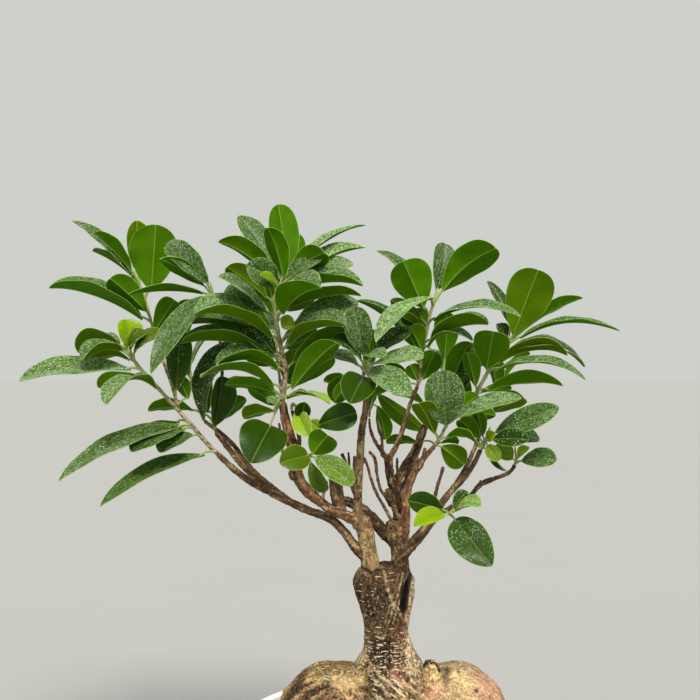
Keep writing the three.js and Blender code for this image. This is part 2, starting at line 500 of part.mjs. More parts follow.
function roots(extra = 0) {
  return ROOTS.map((root) => ball(root, extra)).reduce((body, root) => body.add(root));
}

function trunk() {
  const rows = TRUNK_RINGS.length - 1;
  const column = new THREE.CylinderGeometry(1, 1, 1, TRUNK_SIDES, rows);
  const spots = column.attributes.position;
  for (let i = 0; i < spots.count; i += 1) {
    const [up, left, right, depth, rise] = TRUNK_RINGS[Math.round((0.5 - spots.getY(i)) * rows)];
    const across = spots.getX(i);
    const middle = PLANT_SHIFT + (left + right) / 2;
    const level = up + rise * across;
    spots.setXYZ(i, middle + across * (right - left) / 2, -depth * spots.getZ(i), level);
  }
  return solidOf(column).subtract(ball(CLEFT));
}

// All the wood is one body, from the swollen roots to the tips of the bare branches
function wood() {
  let body = roots().add(trunk()).add(branch(ROOT_STUB, LEADER_SIDES));
  for (const route of Object.values(LEADERS)) {
    body = body.add(branch(route, LEADER_SIDES));
  }
  for (const route of Object.values(BRANCHES)) {
    body = body.add(branch(route, LIMB_SIDES));
  }
  for (const route of STUBS) {
    body = body.add(branch(route, TWIG_SIDES));
  }
  return body;
}

// The pot: a plain round bowl, turned in one piece, with drain holes and grooves under its foot
// that let the water out
function potWall(inset) {
  return new THREE.SplineCurve([
    new THREE.Vector2(POT_FOOT_RADIUS - inset, 0),
    new THREE.Vector2(POT_BELLY_RADIUS - inset, POT_BELLY_HEIGHT),
    new THREE.Vector2(POT_SHOULDER_RADIUS - inset, POT_SHOULDER_HEIGHT),
    new THREE.Vector2(POT_RIM_RADIUS - inset, POT_HEIGHT),
  ]);
}

function turned(profile, sides) {
  const body = new THREE.LatheGeometry(profile, sides);
  body.rotateX(Math.PI / 2);
  return solidOf(body);
}

function pot() {
  const outside = potWall(0).getPoints(WALL_STEPS);
  const lowest = POT_FLOOR + LIP_RISE;
  const inside = potWall(POT_WALL).getPoints(WALL_STEPS).filter((spot) => spot.y > lowest).reverse();
  const floor = new THREE.Vector2(potWall(POT_WALL).getPoint(0).x, POT_FLOOR);
  const lip = new THREE.Vector2(POT_RIM_RADIUS - POT_WALL / 2, POT_HEIGHT + LIP_RISE);
  const profile = [new THREE.Vector2(0, 0), ...outside, lip, ...inside, floor];
  let body = turned([...profile, new THREE.Vector2(0, POT_FLOOR)], POT_SIDES);
  for (const [across, behind] of DRAIN_HOLES) {
    const hole = new THREE.CylinderGeometry(DRAIN_RADIUS, DRAIN_RADIUS, CUTTER_LENGTH, DRAIN_SIDES);
    hole.rotateX(Math.PI / 2);
    hole.translate(across, behind, 0);
    const groove = new THREE.BoxGeometry(POT_FOOT_RADIUS, GROOVE_WIDTH, 2 * GROOVE_DEPTH);
    groove.translate(Math.sign(across) * (Math.abs(across) + POT_FOOT_RADIUS / 2), 0, 0);
    body = body.subtract(solidOf(hole)).subtract(solidOf(groove));
  }
  return body;
}

// The soil fills the pot to a finger's width under its rim, round the roots
function soil() {
  const bottom = POT_FLOOR + NET_THICKNESS + 2 * CLEARANCE;
  const [lowest, ...side] = potWall(POT_WALL + CLEARANCE).getPoints(WALL_STEPS);
  const base = new THREE.Vector2(lowest.x, bottom);
  const profile = [new THREE.Vector2(0, bottom), base, ...side, new THREE.Vector2(0, POT_HEIGHT)];
  const above = new THREE.BoxGeometry(3 * POT_RIM_RADIUS, 3 * POT_RIM_RADIUS, POT_HEIGHT);
  above.translate(0, 0, SOIL_DEPTH + POT_HEIGHT / 2);
  return turned(profile, POT_SIDES).subtract(solidOf(above)).subtract(roots(CLEARANCE));
}

// The drain net: a strip of slotted plastic over the holes in the floor, which keeps the soil in
function drainNet() {
  const strip = new THREE.BoxGeometry(NET_LENGTH, NET_WIDTH, NET_THICKNESS);
  let net = solidOf(strip.translate(0, 0, POT_FLOOR + CLEARANCE + NET_THICKNESS / 2));
  for (const [middle] of DRAIN_HOLES) {
    for (const step of [-1, 0, 1]) {
      const slot = new THREE.BoxGeometry(SLOT_WIDTH, 2 * DRAIN_RADIUS, CUTTER_LENGTH);
      net = net.subtract(solidOf(slot.translate(middle + 2 * step * SLOT_WIDTH, 0, 0)));
    }
  }
  return net;
}

// A shoot: its green stems and its leaves are one body
function spray({ stems, leaves }) {
  const routes = stems.map(routeOf);
  const stalks = stems.map((stem) => branch(stem, TWIG_SIDES));
  const blades = leaves.map((row) => leafSeen(row, routes));
  return [...stalks, ...blades].reduce((body, piece) => body.add(piece));
}

// A shoot at the back: each leaf starts a golden angle round the stem from the last, and those
// near the tip stand up more
function backSpray({ stem, leaves }, seed) {
  const [count, largest, wide, first] = leaves;
  const route = routeOf(stem);
  let body = branch(stem, TWIG_SIDES);
  for (let k = 0; k < count; k += 1) {
    const along = LOWEST_LEAF + (HIGHEST_LEAF - LOWEST_LEAF) * k / (count - 1);
    const foot = route.getPoint(along);
    const heading = route.getTangent(along);
    const turn = THREE.MathUtils.degToRad(first + GOLDEN_ANGLE * k);
    const leaning = LEAST_LEAN + LEAN_AT_TIP * along * along + LEAN_SPREAD * draw(seed + k);
    const lean = THREE.MathUtils.degToRad(leaning);
    const out = new THREE.Vector3(Math.cos(turn), Math.sin(turn), 0);
    out.addScaledVector(heading, -out.dot(heading)).normalize();
    const away = out.clone().multiplyScalar(Math.cos(lean)).addScaledVector(heading, Math.sin(lean));
    const length = largest * THREE.MathUtils.lerp(SHORTEST_LEAF, 1, draw(seed + 3 * k));
    const tip = foot.clone().addScaledVector(away, length);
    const upper = heading.clone().addScaledVector(away, -heading.dot(away)).normalize();
    body = body.add(leaf(foot, tip, upper, wide, ARCH_SHARE * length, BACK_FOLD, [route]));
  }
  return body;
}

const bonsai = new THREE.Group();
bonsai.add(pieceOf(pot(), 'pot', GLAZE));
bonsai.add(pieceOf(drainNet(), 'drain_net', NET));
bonsai.add(pieceOf(soil(), 'soil', EARTH));
bonsai.add(pieceOf(wood(), 'trunk_and_branches', BARK));
for (const [name, shoot] of Object.entries(SPRAYS)) {
  bonsai.add(pieceOf(spray(shoot), name, LEAF));
}
Object.entries(BACK_SPRAYS).forEach(([name, shoot], place) => {
  bonsai.add(pieceOf(backSpray(shoot, 40 * (place + 1)), name, LEAF));
});

export default bonsai;
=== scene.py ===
import math
from types import SimpleNamespace

import bpy
import numpy as np
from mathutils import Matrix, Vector, kdtree, noise


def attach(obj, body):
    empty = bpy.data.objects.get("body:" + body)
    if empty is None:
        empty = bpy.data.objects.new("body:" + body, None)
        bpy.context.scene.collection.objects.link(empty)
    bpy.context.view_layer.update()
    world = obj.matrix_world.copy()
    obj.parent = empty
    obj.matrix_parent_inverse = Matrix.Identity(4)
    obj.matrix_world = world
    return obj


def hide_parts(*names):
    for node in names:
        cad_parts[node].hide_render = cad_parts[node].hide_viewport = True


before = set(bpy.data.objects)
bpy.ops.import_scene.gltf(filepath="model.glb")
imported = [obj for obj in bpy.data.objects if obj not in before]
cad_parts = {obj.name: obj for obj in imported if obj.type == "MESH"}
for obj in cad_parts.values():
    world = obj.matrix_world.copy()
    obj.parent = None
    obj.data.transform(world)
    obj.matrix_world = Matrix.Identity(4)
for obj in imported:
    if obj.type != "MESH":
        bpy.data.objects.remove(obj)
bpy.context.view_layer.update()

# The pot
# A plain round bowl of white glazed stoneware, turned in one piece and dipped in glaze. Water
# leaves by two holes in its floor and by the grooves under its foot, which is wiped bare of glaze.
MM = 0.001
POT_RIM_RADIUS = 91
POT_HEIGHT = 84
POT_FOOT_RADIUS = 60
POT_WALL = 5
POT_FLOOR = 6
POT_ROUND_STEPS = 144
# The outer side from foot to rim, as (radius, height), followed in steps from the first one on
POT_SIDE = [(POT_FOOT_RADIUS, 0), (78.5, 30.24), (89, 63), (POT_RIM_RADIUS, POT_HEIGHT)]
POT_SIDE_STEPS = 40
POT_FIRST_STEP = 3
FOOT_ROUND = 1.6
FOOT_ROUND_ANGLES = np.linspace(0, 1.3, 5)
LIP_RISE = 2
LIP_START = POT_HEIGHT - 1
LIP_ANGLES = np.linspace(0, math.pi, 9)
# The round corner between wall and floor: its width, its height, and a point of it (out, up)
FLOOR_CORNER_WIDTH = 3
FLOOR_CORNER_HEIGHT = 2.5
FLOOR_CORNER_POINT = (1.6, 0.8)
DRAIN_HOLES = [(26, 0), (-26, 0)]
DRAIN_RADIUS = 6
DRAIN_CUT = (-9, 15)
DRAIN_ROUND_STEPS = 32
GROOVE_WIDTH = 8
GROOVE_DEPTH = 1.5
POT_SHARP_ANGLE = 35


def make_piece(name, corners, faces, materials, smooth=True):
    """A mesh piece from corners in millimetres."""
    mesh = bpy.data.meshes.new(name)
    mesh.from_pydata((np.asarray(corners) * MM).tolist(), [], faces)
    for material in materials:
        mesh.materials.append(material)
    if smooth:
        mesh.shade_smooth()
    piece = bpy.data.objects.new(name, mesh)
    bpy.context.scene.collection.objects.link(piece)
    return piece


def curve_point(start, end, leave, arrive, part):
    """A point of the curve that leaves start in one direction and arrives at end in another."""
    return ((2 * start - 2 * end + leave + arrive) * part**3
            + (3 * end - 3 * start - 2 * leave - arrive) * part**2 + leave * part + start)


def wall_point(place, inset):
    """A point of the pot's side, from the foot at 0 to the rim at 1, moved in by inset."""
    last = len(POT_SIDE) - 1
    first = min(int(place * last), last - 1)
    near = [POT_SIDE[min(max(k, 0), last)] for k in range(first - 1, first + 3)]
    before, start, end, after = np.array(near, float) - (inset, 0)
    return curve_point(start, end, 0.5 * (end - before), 0.5 * (after - start), place * last - first)


def full_turn(steps):
    return np.linspace(0, 2 * math.pi, steps, endpoint=False)


def ring_faces(rows, sides, downward=False):
    """Faces between rings of corners, and to the two corners after them that close the ends."""
    faces = []
    for row in range(rows - 1):
        for k in range(sides):
            after = (k + 1) % sides
            low, high = row * sides, (row + 1) * sides
            faces.append((low + k, low + after, high + after, high + k))
    bottom, top, ends = rows * sides, rows * sides + 1, (rows - 1) * sides
    for k in range(sides):
        after = (k + 1) % sides
        faces += [(bottom, after, k), (top, ends + k, ends + after)]
    return [(face[0], *face[:0:-1]) for face in faces] if downward else faces


def turned(profile, sides):
    """Corners and faces of a profile of (radius, height) turned round the upright axis."""
    rings = [(r, z) for r, z in profile if r > 0]
    corners = [(r * math.cos(a), r * math.sin(a), z) for r, z in rings for a in full_turn(sides)]
    corners += [(0, 0, profile[0][1]), (0, 0, profile[-1][1])]
    return corners, ring_faces(len(rings), sides)


class Value:
    """What a shader node gives out. Sums, differences and products of values make further nodes."""

    def __init__(self, node, output):
        self.tree = node.id_data
        self.socket = node.outputs[output]

    def __add__(self, other):
        return worked(self.tree, "ADD", self, other)

    def __sub__(self, other):
        return worked(self.tree, "SUBTRACT", self, other)

    def __rsub__(self, other):
        return worked(self.tree, "SUBTRACT", other, self)

    def __mul__(self, other):
        return worked(self.tree, "MULTIPLY", self, other)

    def __abs__(self):
        return worked(self.tree, "ABSOLUTE", self)

    def eased(self, low, high, start=0.0, end=1.0):
        """A value that goes smoothly from start to end as this one passes from low to high."""
        links = {"Value": self, "From Min": low, "From Max": high, "To Min": start, "To Max": end}
        return Value(add_node(self.tree, "MapRange", links, interpolation_type="SMOOTHSTEP"), "Result")


def add_node(tree, kind, links=None, **settings):
    """A shader node with its settings, and each socket given a plain value or another node's."""
    node = tree.nodes.new("ShaderNode" + kind)
    for name, value in settings.items():
        setattr(node, name, value)
    for name, value in (links or {}).items():
        if isinstance(value, Value):
            tree.links.new(value.socket, node.inputs[name])
        else:
            node.inputs[name].default_value = value
    return node


def worked(tree, operation, *values):
    """The result of one arithmetic step."""
    return Value(add_node(tree, "Math", dict(enumerate(values)), operation=operation), 0)


def mixed(tree, share, first, second, way="MIX"):
    """One colour laid over another, by a share from 0 to 1."""
    first, second = [(*colour, 1) if isinstance(colour, tuple) else colour for colour in (first, second)]
    links = {0: share, 6: first, 7: second}
    return Value(add_node(tree, "Mix", links, data_type="RGBA", blend_type=way), 2)


def object_place(tree):
    return Value(add_node(tree, "TexCoord"), "Object")


def object_axes(tree):
    """How far across, behind and up each place lies on the object, in metres."""
    parts = add_node(tree, "SeparateXYZ", {"Vector": object_place(tree)})
    return [Value(parts, axis) for axis in "XYZ"]


def spotted(tree, scale, detail=3.0, roughness=0.55, stretch=(1, 1, 1)):
    """A noise texture fixed to the object, with a number of bumps to the metre."""
    place = Value(add_node(tree, "Mapping", {"Vector": object_place(tree), "Scale": stretch}), "Vector")
    links = {"Vector": place, "Scale": scale, "Detail": detail, "Roughness": roughness}
    return Value(add_node(tree, "TexNoise", links), "Fac")


def new_material(name, **settings):
    """A material with its surface shader's plain values set on the shader's own sockets."""
    material = bpy.data.materials.new(name)
    material.use_nodes = True
    shader = material.node_tree.nodes["Principled BSDF"]
    for socket, value in settings.items():
        shader.inputs[socket.replace("_", " ")].default_value = value
    return material, material.node_tree


def dressed(material, colour, height=None, depth=0.0, strength=1.0, roughness=None):
    """The material with its colour, its relief of a depth in metres and its uneven roughness."""
    tree = material.node_tree
    inputs = tree.nodes["Principled BSDF"].inputs
    tree.links.new(colour.socket, inputs["Base Color"])
    if height:
        bump = add_node(tree, "Bump", {"Height": height, "Distance": depth, "Strength": strength})
        tree.links.new(bump.outputs["Normal"], inputs["Normal"])
    if roughness:
        tree.links.new(roughness.socket, inputs["Roughness"])
    return material


def white_glaze():
    material, tree = new_material("white_glaze", Coat_Weight=0.35, Coat_Roughness=0.08)
    glaze = mixed(tree, spotted(tree, 26, 4), (0.80, 0.79, 0.755), (0.90, 0.895, 0.87))
    dark_specks = spotted(tree, 420, 1, 0.4).eased(0.74, 0.80)
    glaze = mixed(tree, dark_specks, glaze, (0.55, 0.49, 0.40))
    ragged_height = object_axes(tree)[2] + spotted(tree, 60, 2) * 0.0012
    glazed = ragged_height.eased(0.0019, 0.0025)
    colour = mixed(tree, glazed, (0.62, 0.54, 0.44), glaze)
    ripple = spotted(tree, 55, 2) + spotted(tree, 900, 2) * 0.04
    return dressed(material, colour, ripple, 0.0006, roughness=0.85 - glazed * 0.66)


def settled(piece, kind, **settings):
    """Runs one of Blender's mesh steps on a piece and keeps its result."""
    step = piece.modifiers.new("step", kind)
    for name, value in settings.items():
        setattr(step, name, value)
    bpy.context.view_layer.update()
    done = bpy.data.meshes.new_from_object(piece.evaluated_get(bpy.context.evaluated_depsgraph_get()))
    piece.modifiers.clear()
    old = piece.data
    piece.data = done
    bpy.data.meshes.remove(old)


def cut_away(piece, cutter):
    """Takes the cutter's shape out of the piece, and drops the cutter."""
    settled(piece, "BOOLEAN", operation="DIFFERENCE", solver="EXACT", object=cutter)
    bpy.data.objects.remove(cutter)


def cut_drain(pot, across, behind):
    """A round hole in the pot's floor, and the groove from it to the edge of the foot."""
    low, high = DRAIN_CUT
    outline = [(0, low), (DRAIN_RADIUS, low), (DRAIN_RADIUS, high), (0, high)]
    corners, faces = turned(outline, DRAIN_ROUND_STEPS)
    cut_away(pot, make_piece("hole", np.array(corners) + (across, behind, 0), faces, []))
    ends = sorted((across, across + math.copysign(POT_FOOT_RADIUS, across)))
    corners = [(x, y, z) for x in ends for y in (-GROOVE_WIDTH / 2, GROOVE_WIDTH / 2)
               for z in (-GROOVE_DEPTH, GROOVE_DEPTH)]
    faces = [(0, 1, 3, 2), (4, 6, 7, 5), (0, 4, 5, 1), (2, 3, 7, 6), (0, 2, 6, 4), (1, 5, 7, 3)]
    cut_away(pot, make_piece("groove", corners, faces, []))


def make_pot():
    foot_edge = POT_FOOT_RADIUS - FOOT_ROUND
    lip_middle = POT_RIM_RADIUS - POT_WALL / 2
    floor_edge = wall_point(POT_FIRST_STEP / POT_SIDE_STEPS, POT_WALL)[0] - FLOOR_CORNER_WIDTH
    corner_out, corner_up = FLOOR_CORNER_POINT
    steps = range(POT_FIRST_STEP, POT_SIDE_STEPS)
    outside = [wall_point(k / POT_SIDE_STEPS, 0) for k in steps]
    inside = [wall_point(k / POT_SIDE_STEPS, POT_WALL) for k in reversed(steps[1:])]
    profile = [(0, 0), (POT_FOOT_RADIUS / 2, 0)]
    profile += [(foot_edge + FOOT_ROUND * math.sin(a), FOOT_ROUND * (1 - math.cos(a)))
                for a in FOOT_ROUND_ANGLES]
    profile += outside
    profile += [(lip_middle + 0.5 * POT_WALL * math.cos(a), LIP_START + LIP_RISE * math.sin(a))
                for a in LIP_ANGLES]
    profile += [(r, z) for r, z in inside if z > POT_FLOOR + FLOOR_CORNER_HEIGHT]
    profile += [(floor_edge + corner_out, POT_FLOOR + corner_up), (floor_edge, POT_FLOOR)]
    profile += [(POT_FOOT_RADIUS / 2, POT_FLOOR), (0, POT_FLOOR)]
    pot = make_piece("glazed_bowl", *turned(profile, POT_ROUND_STEPS), [white_glaze()])
    for across, behind in DRAIN_HOLES:
        cut_drain(pot, across, behind)
    pot.data.shade_smooth()
    pot.data.set_sharp_from_angle(angle=math.radians(POT_SHARP_ANGLE))
    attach(pot, "root")
    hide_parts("pot")


make_pot()

# The drain net
# A strip of dark green moulded plastic, slotted over the pot's two holes. It lies loose on the
# pot's floor and keeps the soil in while the water runs out.


def net_plastic():
    material, tree = new_material("net_plastic", Roughness=0.45)
    colour = mixed(tree, spotted(tree, 300, 3), (0.016, 0.045, 0.026), (0.035, 0.085, 0.05))
    return dressed(material, colour, spotted(tree, 1800, 2), 0.00008)


drain_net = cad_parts["drain_net"]
if not drain_net.data.materials:
    drain_net.data.materials.append(None)
drain_net.material_slots[0].material = net_plastic()

# The soil
# Dark potting soil of peat, crumbled bark and a little pale pumice, pressed in round the roots to
# a finger's width under the rim.
SOIL_DEPTH = POT_HEIGHT - 9
SOIL_BOTTOM = POT_FLOOR + 1.9
SOIL_GAP = 0.4
SOIL_SIDE_STEPS = 24
SOIL_ROUND_STEPS = 180
SOIL_RINGS = 44
# The soil's heaps, clods and fine bumps: [how many to the millimetre, which noise, height]
SOIL_BUMPS = [(0.045, 3.1, 0.9), (0.22, 7.7, 0.7), (0.7, 1.3, 0.35)]
CRUMBS = 2600
CRUMB_SIZES = (0.6, 2.4)
CRUMB_ROUGHNESS = (0.7, 1.2)
CRUMB_FLATNESS = [(0.6, 1), (0.5, 0.9)]
CRUMB_REACH = 0.97
CRUMB_PROUD = 0.3
PUMICE_SHARE = 0.06


def cell_distance(tree, scale):
    """How far each place lies from the middle of its cell, with a number of cells to the metre."""
    links = {"Vector": object_place(tree), "Scale": scale}
    return Value(add_node(tree, "TexVoronoi", links), "Distance")


def potting_soil():
    material, tree = new_material("potting_soil", Roughness=0.95)
    colour = mixed(tree, spotted(tree, 240, 5, 0.7), (0.012, 0.008, 0.005), (0.075, 0.045, 0.026))
    chips = cell_distance(tree, 380).eased(0.22, 0.05)
    colour = mixed(tree, chips * 0.5, colour, (0.16, 0.10, 0.055))
    return dressed(material, colour, spotted(tree, 900, 4, 0.7) + chips * 0.5, 0.0009)


def pumice():
    material, tree = new_material("pumice", Roughness=0.9)
    colour = mixed(tree, spotted(tree, 700, 4), (0.36, 0.31, 0.24), (0.66, 0.60, 0.50))
    return dressed(material, colour, spotted(tree, 1600, 3), 0.0004)


def soil_height(across, behind):
    """The height of the soil's top at a place."""
    bumps = (height * noise.noise(Vector((across * scale, behind * scale, which)))
             for scale, which, height in SOIL_BUMPS)
    return sum(bumps, SOIL_DEPTH)


def ball():
    """Corners and faces of a ball of twenty faces, each face between three corners that lie near."""
    gold = (1 + math.sqrt(5)) / 2
    pairs = [(a, b * gold) for a in (-1, 1) for b in (-1, 1)]
    knobs = [(a, b, 0) for a, b in pairs] + [(0, a, b) for a, b in pairs] + [(b, 0, a) for a, b in pairs]
    knobs = np.array(knobs, float) / math.sqrt(1 + gold * gold)
    near = np.linalg.norm(knobs[:, None] - knobs[None], axis=2) < 1.1
    faces = [(a, b, c) for a in range(12) for b in range(a + 1, 12) for c in range(b + 1, 12)
             if near[a, b] and near[b, c] and near[a, c]]
    faces = [(a, b, c) if np.linalg.det(knobs[[a, b, c]]) > 0 else (a, c, b) for a, b, c in faces]
    return knobs, faces


def crumbled(knobs, middle, size, draw):
    """The corners of a crumb: a ball made rough, flattened a little and turned any way."""
    corners = knobs * draw.uniform(*CRUMB_ROUGHNESS, (len(knobs), 1))
    spin = np.linalg.qr(draw.normal(size=(3, 3)))[0]
    spin *= np.sign(np.linalg.det(spin))
    return middle + (corners * (1, *[draw.uniform(*flat) for flat in CRUMB_FLATNESS])) @ spin * size


def make_soil():
    side = [wall_point(k / SOIL_SIDE_STEPS, POT_WALL + SOIL_GAP) for k in range(1, SOIL_SIDE_STEPS)]
    side = [(r, z) for r, z in side if SOIL_BOTTOM < z < SOIL_DEPTH - 1]
    edge = side[-1][0]
    profile = [(0, SOIL_BOTTOM), (side[0][0] - 1, SOIL_BOTTOM), *side]
    profile += [(edge * (1 - k / SOIL_RINGS), SOIL_DEPTH) for k in range(SOIL_RINGS)] + [(0, SOIL_DEPTH)]
    corners, faces = turned(profile, SOIL_ROUND_STEPS)
    corners = [(x, y, soil_height(x, y) if z == SOIL_DEPTH else z) for x, y, z in corners]
    draw = np.random.default_rng(5)
    shades = [0] * len(faces)
    knobs, ball_faces = ball()
    for _ in range(CRUMBS):
        away = edge * math.sqrt(draw.uniform(0, 1)) * CRUMB_REACH
        turn = draw.uniform(0, 2 * math.pi)
        across, behind = away * math.cos(turn), away * math.sin(turn)
        size = CRUMB_SIZES[0] + (CRUMB_SIZES[1] - CRUMB_SIZES[0]) * draw.uniform(0, 1) ** 3
        middle = np.array((across, behind, soil_height(across, behind) + CRUMB_PROUD * size))
        first = len(corners)
        corners += [tuple(c) for c in crumbled(knobs, middle, size, draw)]
        faces += [(first + a, first + b, first + c) for a, b, c in ball_faces]
        shades += [1 if draw.uniform(0, 1) < PUMICE_SHARE else 0] * len(ball_faces)
    soil = make_piece("potting_soil", corners, faces, [potting_soil(), pumice()], smooth=False)
    soil.data.polygons.foreach_set("material_index", shades)
    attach(soil, "root")
    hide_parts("soil")


make_soil()

# The wood
# Swollen roots, a cut trunk with two grafted leaders, and bare crooked branches, grown together as
# one piece. Its bark is thin and grey-brown, ringed where leaves fell and dotted with pale pores.
PLANT_SHIFT = 4
EYE = np.array((-24 + PLANT_SHIFT, -583.3, 310.8))
EYE_DISTANCE = -EYE[1]
LEADERS = {
    "left_leader": [
        [-12, 170, 0, 6], [-12, 182, 0, 5.6], [-13, 191, 0, 5], [-14.5, 200, 0, 5.2], [-17, 209, 0, 5],
    ],
    "right_leader": [
        [5, 170, 0, 6.5], [6, 183, 0, 5.4], [5, 192, 0, 4.6], [3, 200, 0, 6], [2, 208, 1, 4.5],
    ],
}
BRANCHES = {
    "red_limb": [
        [-15, 206, 0, 4.6], [-24, 210.5, -2, 3.2], [-34, 214, -4, 2.6], [-43, 220, -5, 2.5],
        [-51, 227, -6, 3], [-55.5, 236, -6, 3.6], [-57, 246, -6, 3.6], [-59.5, 257, -6, 3.3],
        [-62.5, 268, -5, 2.8], [-64.5, 279, -5, 2.3],
    ],
    "low_limb": [
        [-15, 188, 1, 4.4], [-21, 193, 2, 3.2], [-27, 201, 3, 2.7], [-35, 209, 3, 2.6],
        [-50, 215, 2, 2.5], [-63, 221, 1, 2.4], [-72, 225.5, 0, 2.2], [-84, 232, -1, 2],
        [-95, 240.5, -2, 1.9], [-103, 248, -3, 1.7],
    ],
    "upper_limb": [
        [-60, 220, 1, 2], [-68, 225.5, 4, 2.2], [-78, 232, 7, 2.1], [-88, 241, 9, 1.9],
        [-97, 252, 10, 1.8], [-104.5, 261.5, 10, 1.5],
    ],
    "straight_leader": [
        [-19, 204, -1, 3.4], [-19.6, 215, -3, 2.7], [-19, 230, -4, 2.4], [-18, 246, -5, 2.3],
        [-17, 262, -5, 2.2], [-14.7, 276, -5, 2], [-14.8, 285, -5, 1.7], [-16, 292, -5, 1.4],
    ],
    "cross_limb": [
        [4, 195, 1, 4.4], [-4, 202, 3, 3.8], [-11, 210, 4, 3.5], [-19, 217, 5, 3.2], [-26, 220, 5, 2.8],
        [-32, 221, 5, 2],
    ],
    "dark_leader": [
        [4, 200, 2, 4], [4.8, 212, 3, 3.1], [3.2, 224, 3, 3.1], [0, 236, 3, 2.6], [-1, 246, 3, 2.6],
    ],
    "dark_left": [
        [-1, 245, 3, 2], [-5, 250, 4, 1.3], [-9.5, 257, 5, 1.1], [-12, 264, 5, 0.9], [-12.4, 270, 5, 0.8],
    ],
    "dark_right": [
        [-1, 245, 3, 2.4], [1.5, 249, 4, 1.7], [5, 256, 5, 1.6], [9, 268, 6, 1.4], [12, 278, 7, 1.2],
        [16.5, 289, 8, 1.1],
    ],
    "heavy_limb": [
        [3, 222, 4, 3], [4.5, 232, 5, 2.8], [9, 241, 6, 2.7], [15, 250.5, 7, 2.5], [18.5, 260, 8, 2],
        [22, 268.5, 8, 1.5],
    ],
    "peeled_limb": [
        [8, 197, -1, 3.2], [9.4, 210, -3, 2.8], [9.6, 222, -5, 2.6], [12.5, 233, -6, 2.4],
        [18, 243, -6, 2], [23, 249, -6, 1.6], [26.5, 253, -6, 1.4],
    ],
    "right_limb": [
        [4, 184, -1, 4], [11, 192, -3, 3.6], [18, 199.5, -5, 3.2], [25, 208.5, -6, 2.6],
        [32, 220.5, -7, 2.1], [39, 228.5, -8, 1.9], [46, 236, -8, 1.8], [51, 244, -8, 1.6],
        [54.5, 251, -8, 1.4],
    ],
    "low_right_limb": [
        [27, 211, -5, 1.8], [38, 217, -2, 1.5], [48, 223, 1, 1.5], [53.5, 229.5, 3, 1.5],
        [57.5, 231.8, 3, 1.8], [65, 234.5, 4, 1.2], [71.5, 237.3, 4, 1.2], [74.8, 241.5, 4, 1.2],
    ],
    "knee_twig": [[27, 211, -6, 1.8], [31, 212.5, -11, 1.4], [34.5, 213, -16, 1.2]],
    "back_limb": [
        [4, 206, 3, 3], [7, 222, 12, 2.4], [12, 238, 24, 2], [18, 254, 36, 1.6], [23, 268, 46, 1.3],
    ],
    "back_left": [
        [-17, 206, 3, 3], [-40, 219, 14, 2.4], [-56, 238, 26, 2], [-61, 258, 36, 1.6],
        [-64, 275, 44, 1.3],
    ],
    "back_middle": [[-18.5, 210, 2, 2.4], [-19, 232, 14, 1.8], [-18, 256, 26, 1.5], [-15, 278, 36, 1.2]],
    "far_left_limb": [[-66, 224, 2, 2.2], [-82, 238, 16, 1.8], [-96, 256, 30, 1.5], [-111, 268, 40, 1.3]],
    "far_right_limb": [[30, 217, -6, 1.9], [42, 234, 8, 1.6], [50, 250, 24, 1.4], [55, 263, 36, 1.2]],
}
# Pruned stubs and dead twigs
STUBS = [
    [[-4.6, 247, 4, 1.2], [-4.8, 257, 5, 0.9], [-7.4, 269, 5, 0.8]],
    [[1, 219, 3, 1.3], [-5, 226, 3, 1], [-8, 237, 0, 1], [-9.3, 246, 0, 1.1], [-12.4, 250, 0, 1]],
    [[4, 203, 0, 1.3], [-2, 214, -3, 1], [-9, 227, -4, 1], [-15, 246, -4, 0.9]],
    [[-20, 222, -3, 1.6], [-24, 233, -1, 1.1], [-26, 242, 0, 1], [-28.8, 248.5, 0, 1]],
    [[-19.6, 225, -2.5, 1.4], [-23.8, 238, 2, 0.9], [-25, 249.5, 2, 0.8]],
    [[-19, 222, -6, 1.4], [-21.6, 238, -9, 0.9], [-21.2, 247, -9, 1.1]],
    [[-29, 213, -1, 3.4], [-31.5, 222, 4, 4.2], [-33, 234, 6, 4]],
    [[-41, 218, -4.4, 1.4], [-39.6, 225, -7, 0.9], [-37.5, 232, -8, 0.8]],
    [[6.5, 232, 3, 1.4], [4.4, 239, 1, 1], [4.3, 246, 0, 0.9]],
    [[24, 209, -6, 1.6], [28.5, 229, -9, 1.1], [32, 240.5, -10, 1]],
    [
        [-53, 229, -6, 2], [-57, 237, -3, 1.1], [-63.5, 245, -2, 0.9], [-65, 255, -2, 0.9],
        [-66.5, 267, -2, 0.7],
    ],
    [[-56.5, 248, -7, 2], [-54.5, 257, -9, 1.4], [-56.5, 266, -8, 1.3], [-58.8, 274.5, -7, 1.1]],
    [[15, 247, -6, 1.6], [18, 240, -8, 1.3], [21, 252, -9, 1.1]],
]
# Small dead twigs and knobs left where shoots were cut off
KNOBS = [
    [[-42, 217, -2, 1.2], [-42.4, 222, -1, 0.8], [-44, 227, 0, 0.6]],
    [[9, 206, -1, 1.6], [3, 214, -4, 1.4], [2, 217, -5, 1.8]],
    [[55, 230, 3, 1.2], [54, 230.7, 2, 0.9], [54.6, 232.6, 2, 0.7]],
    [[-58, 241, -4, 1.2], [-59.5, 236, -8, 1.6], [-58, 233, -8, 1.4]],
    [[1.5, 218, 3, 2.6], [-1, 223.5, -2.5, 2.6], [-1, 227, -3.5, 2]],
    [[17.5, 259, 8, 1.4], [18.6, 262, 9, 0.9], [22.5, 267, 11, 0.8]],
]
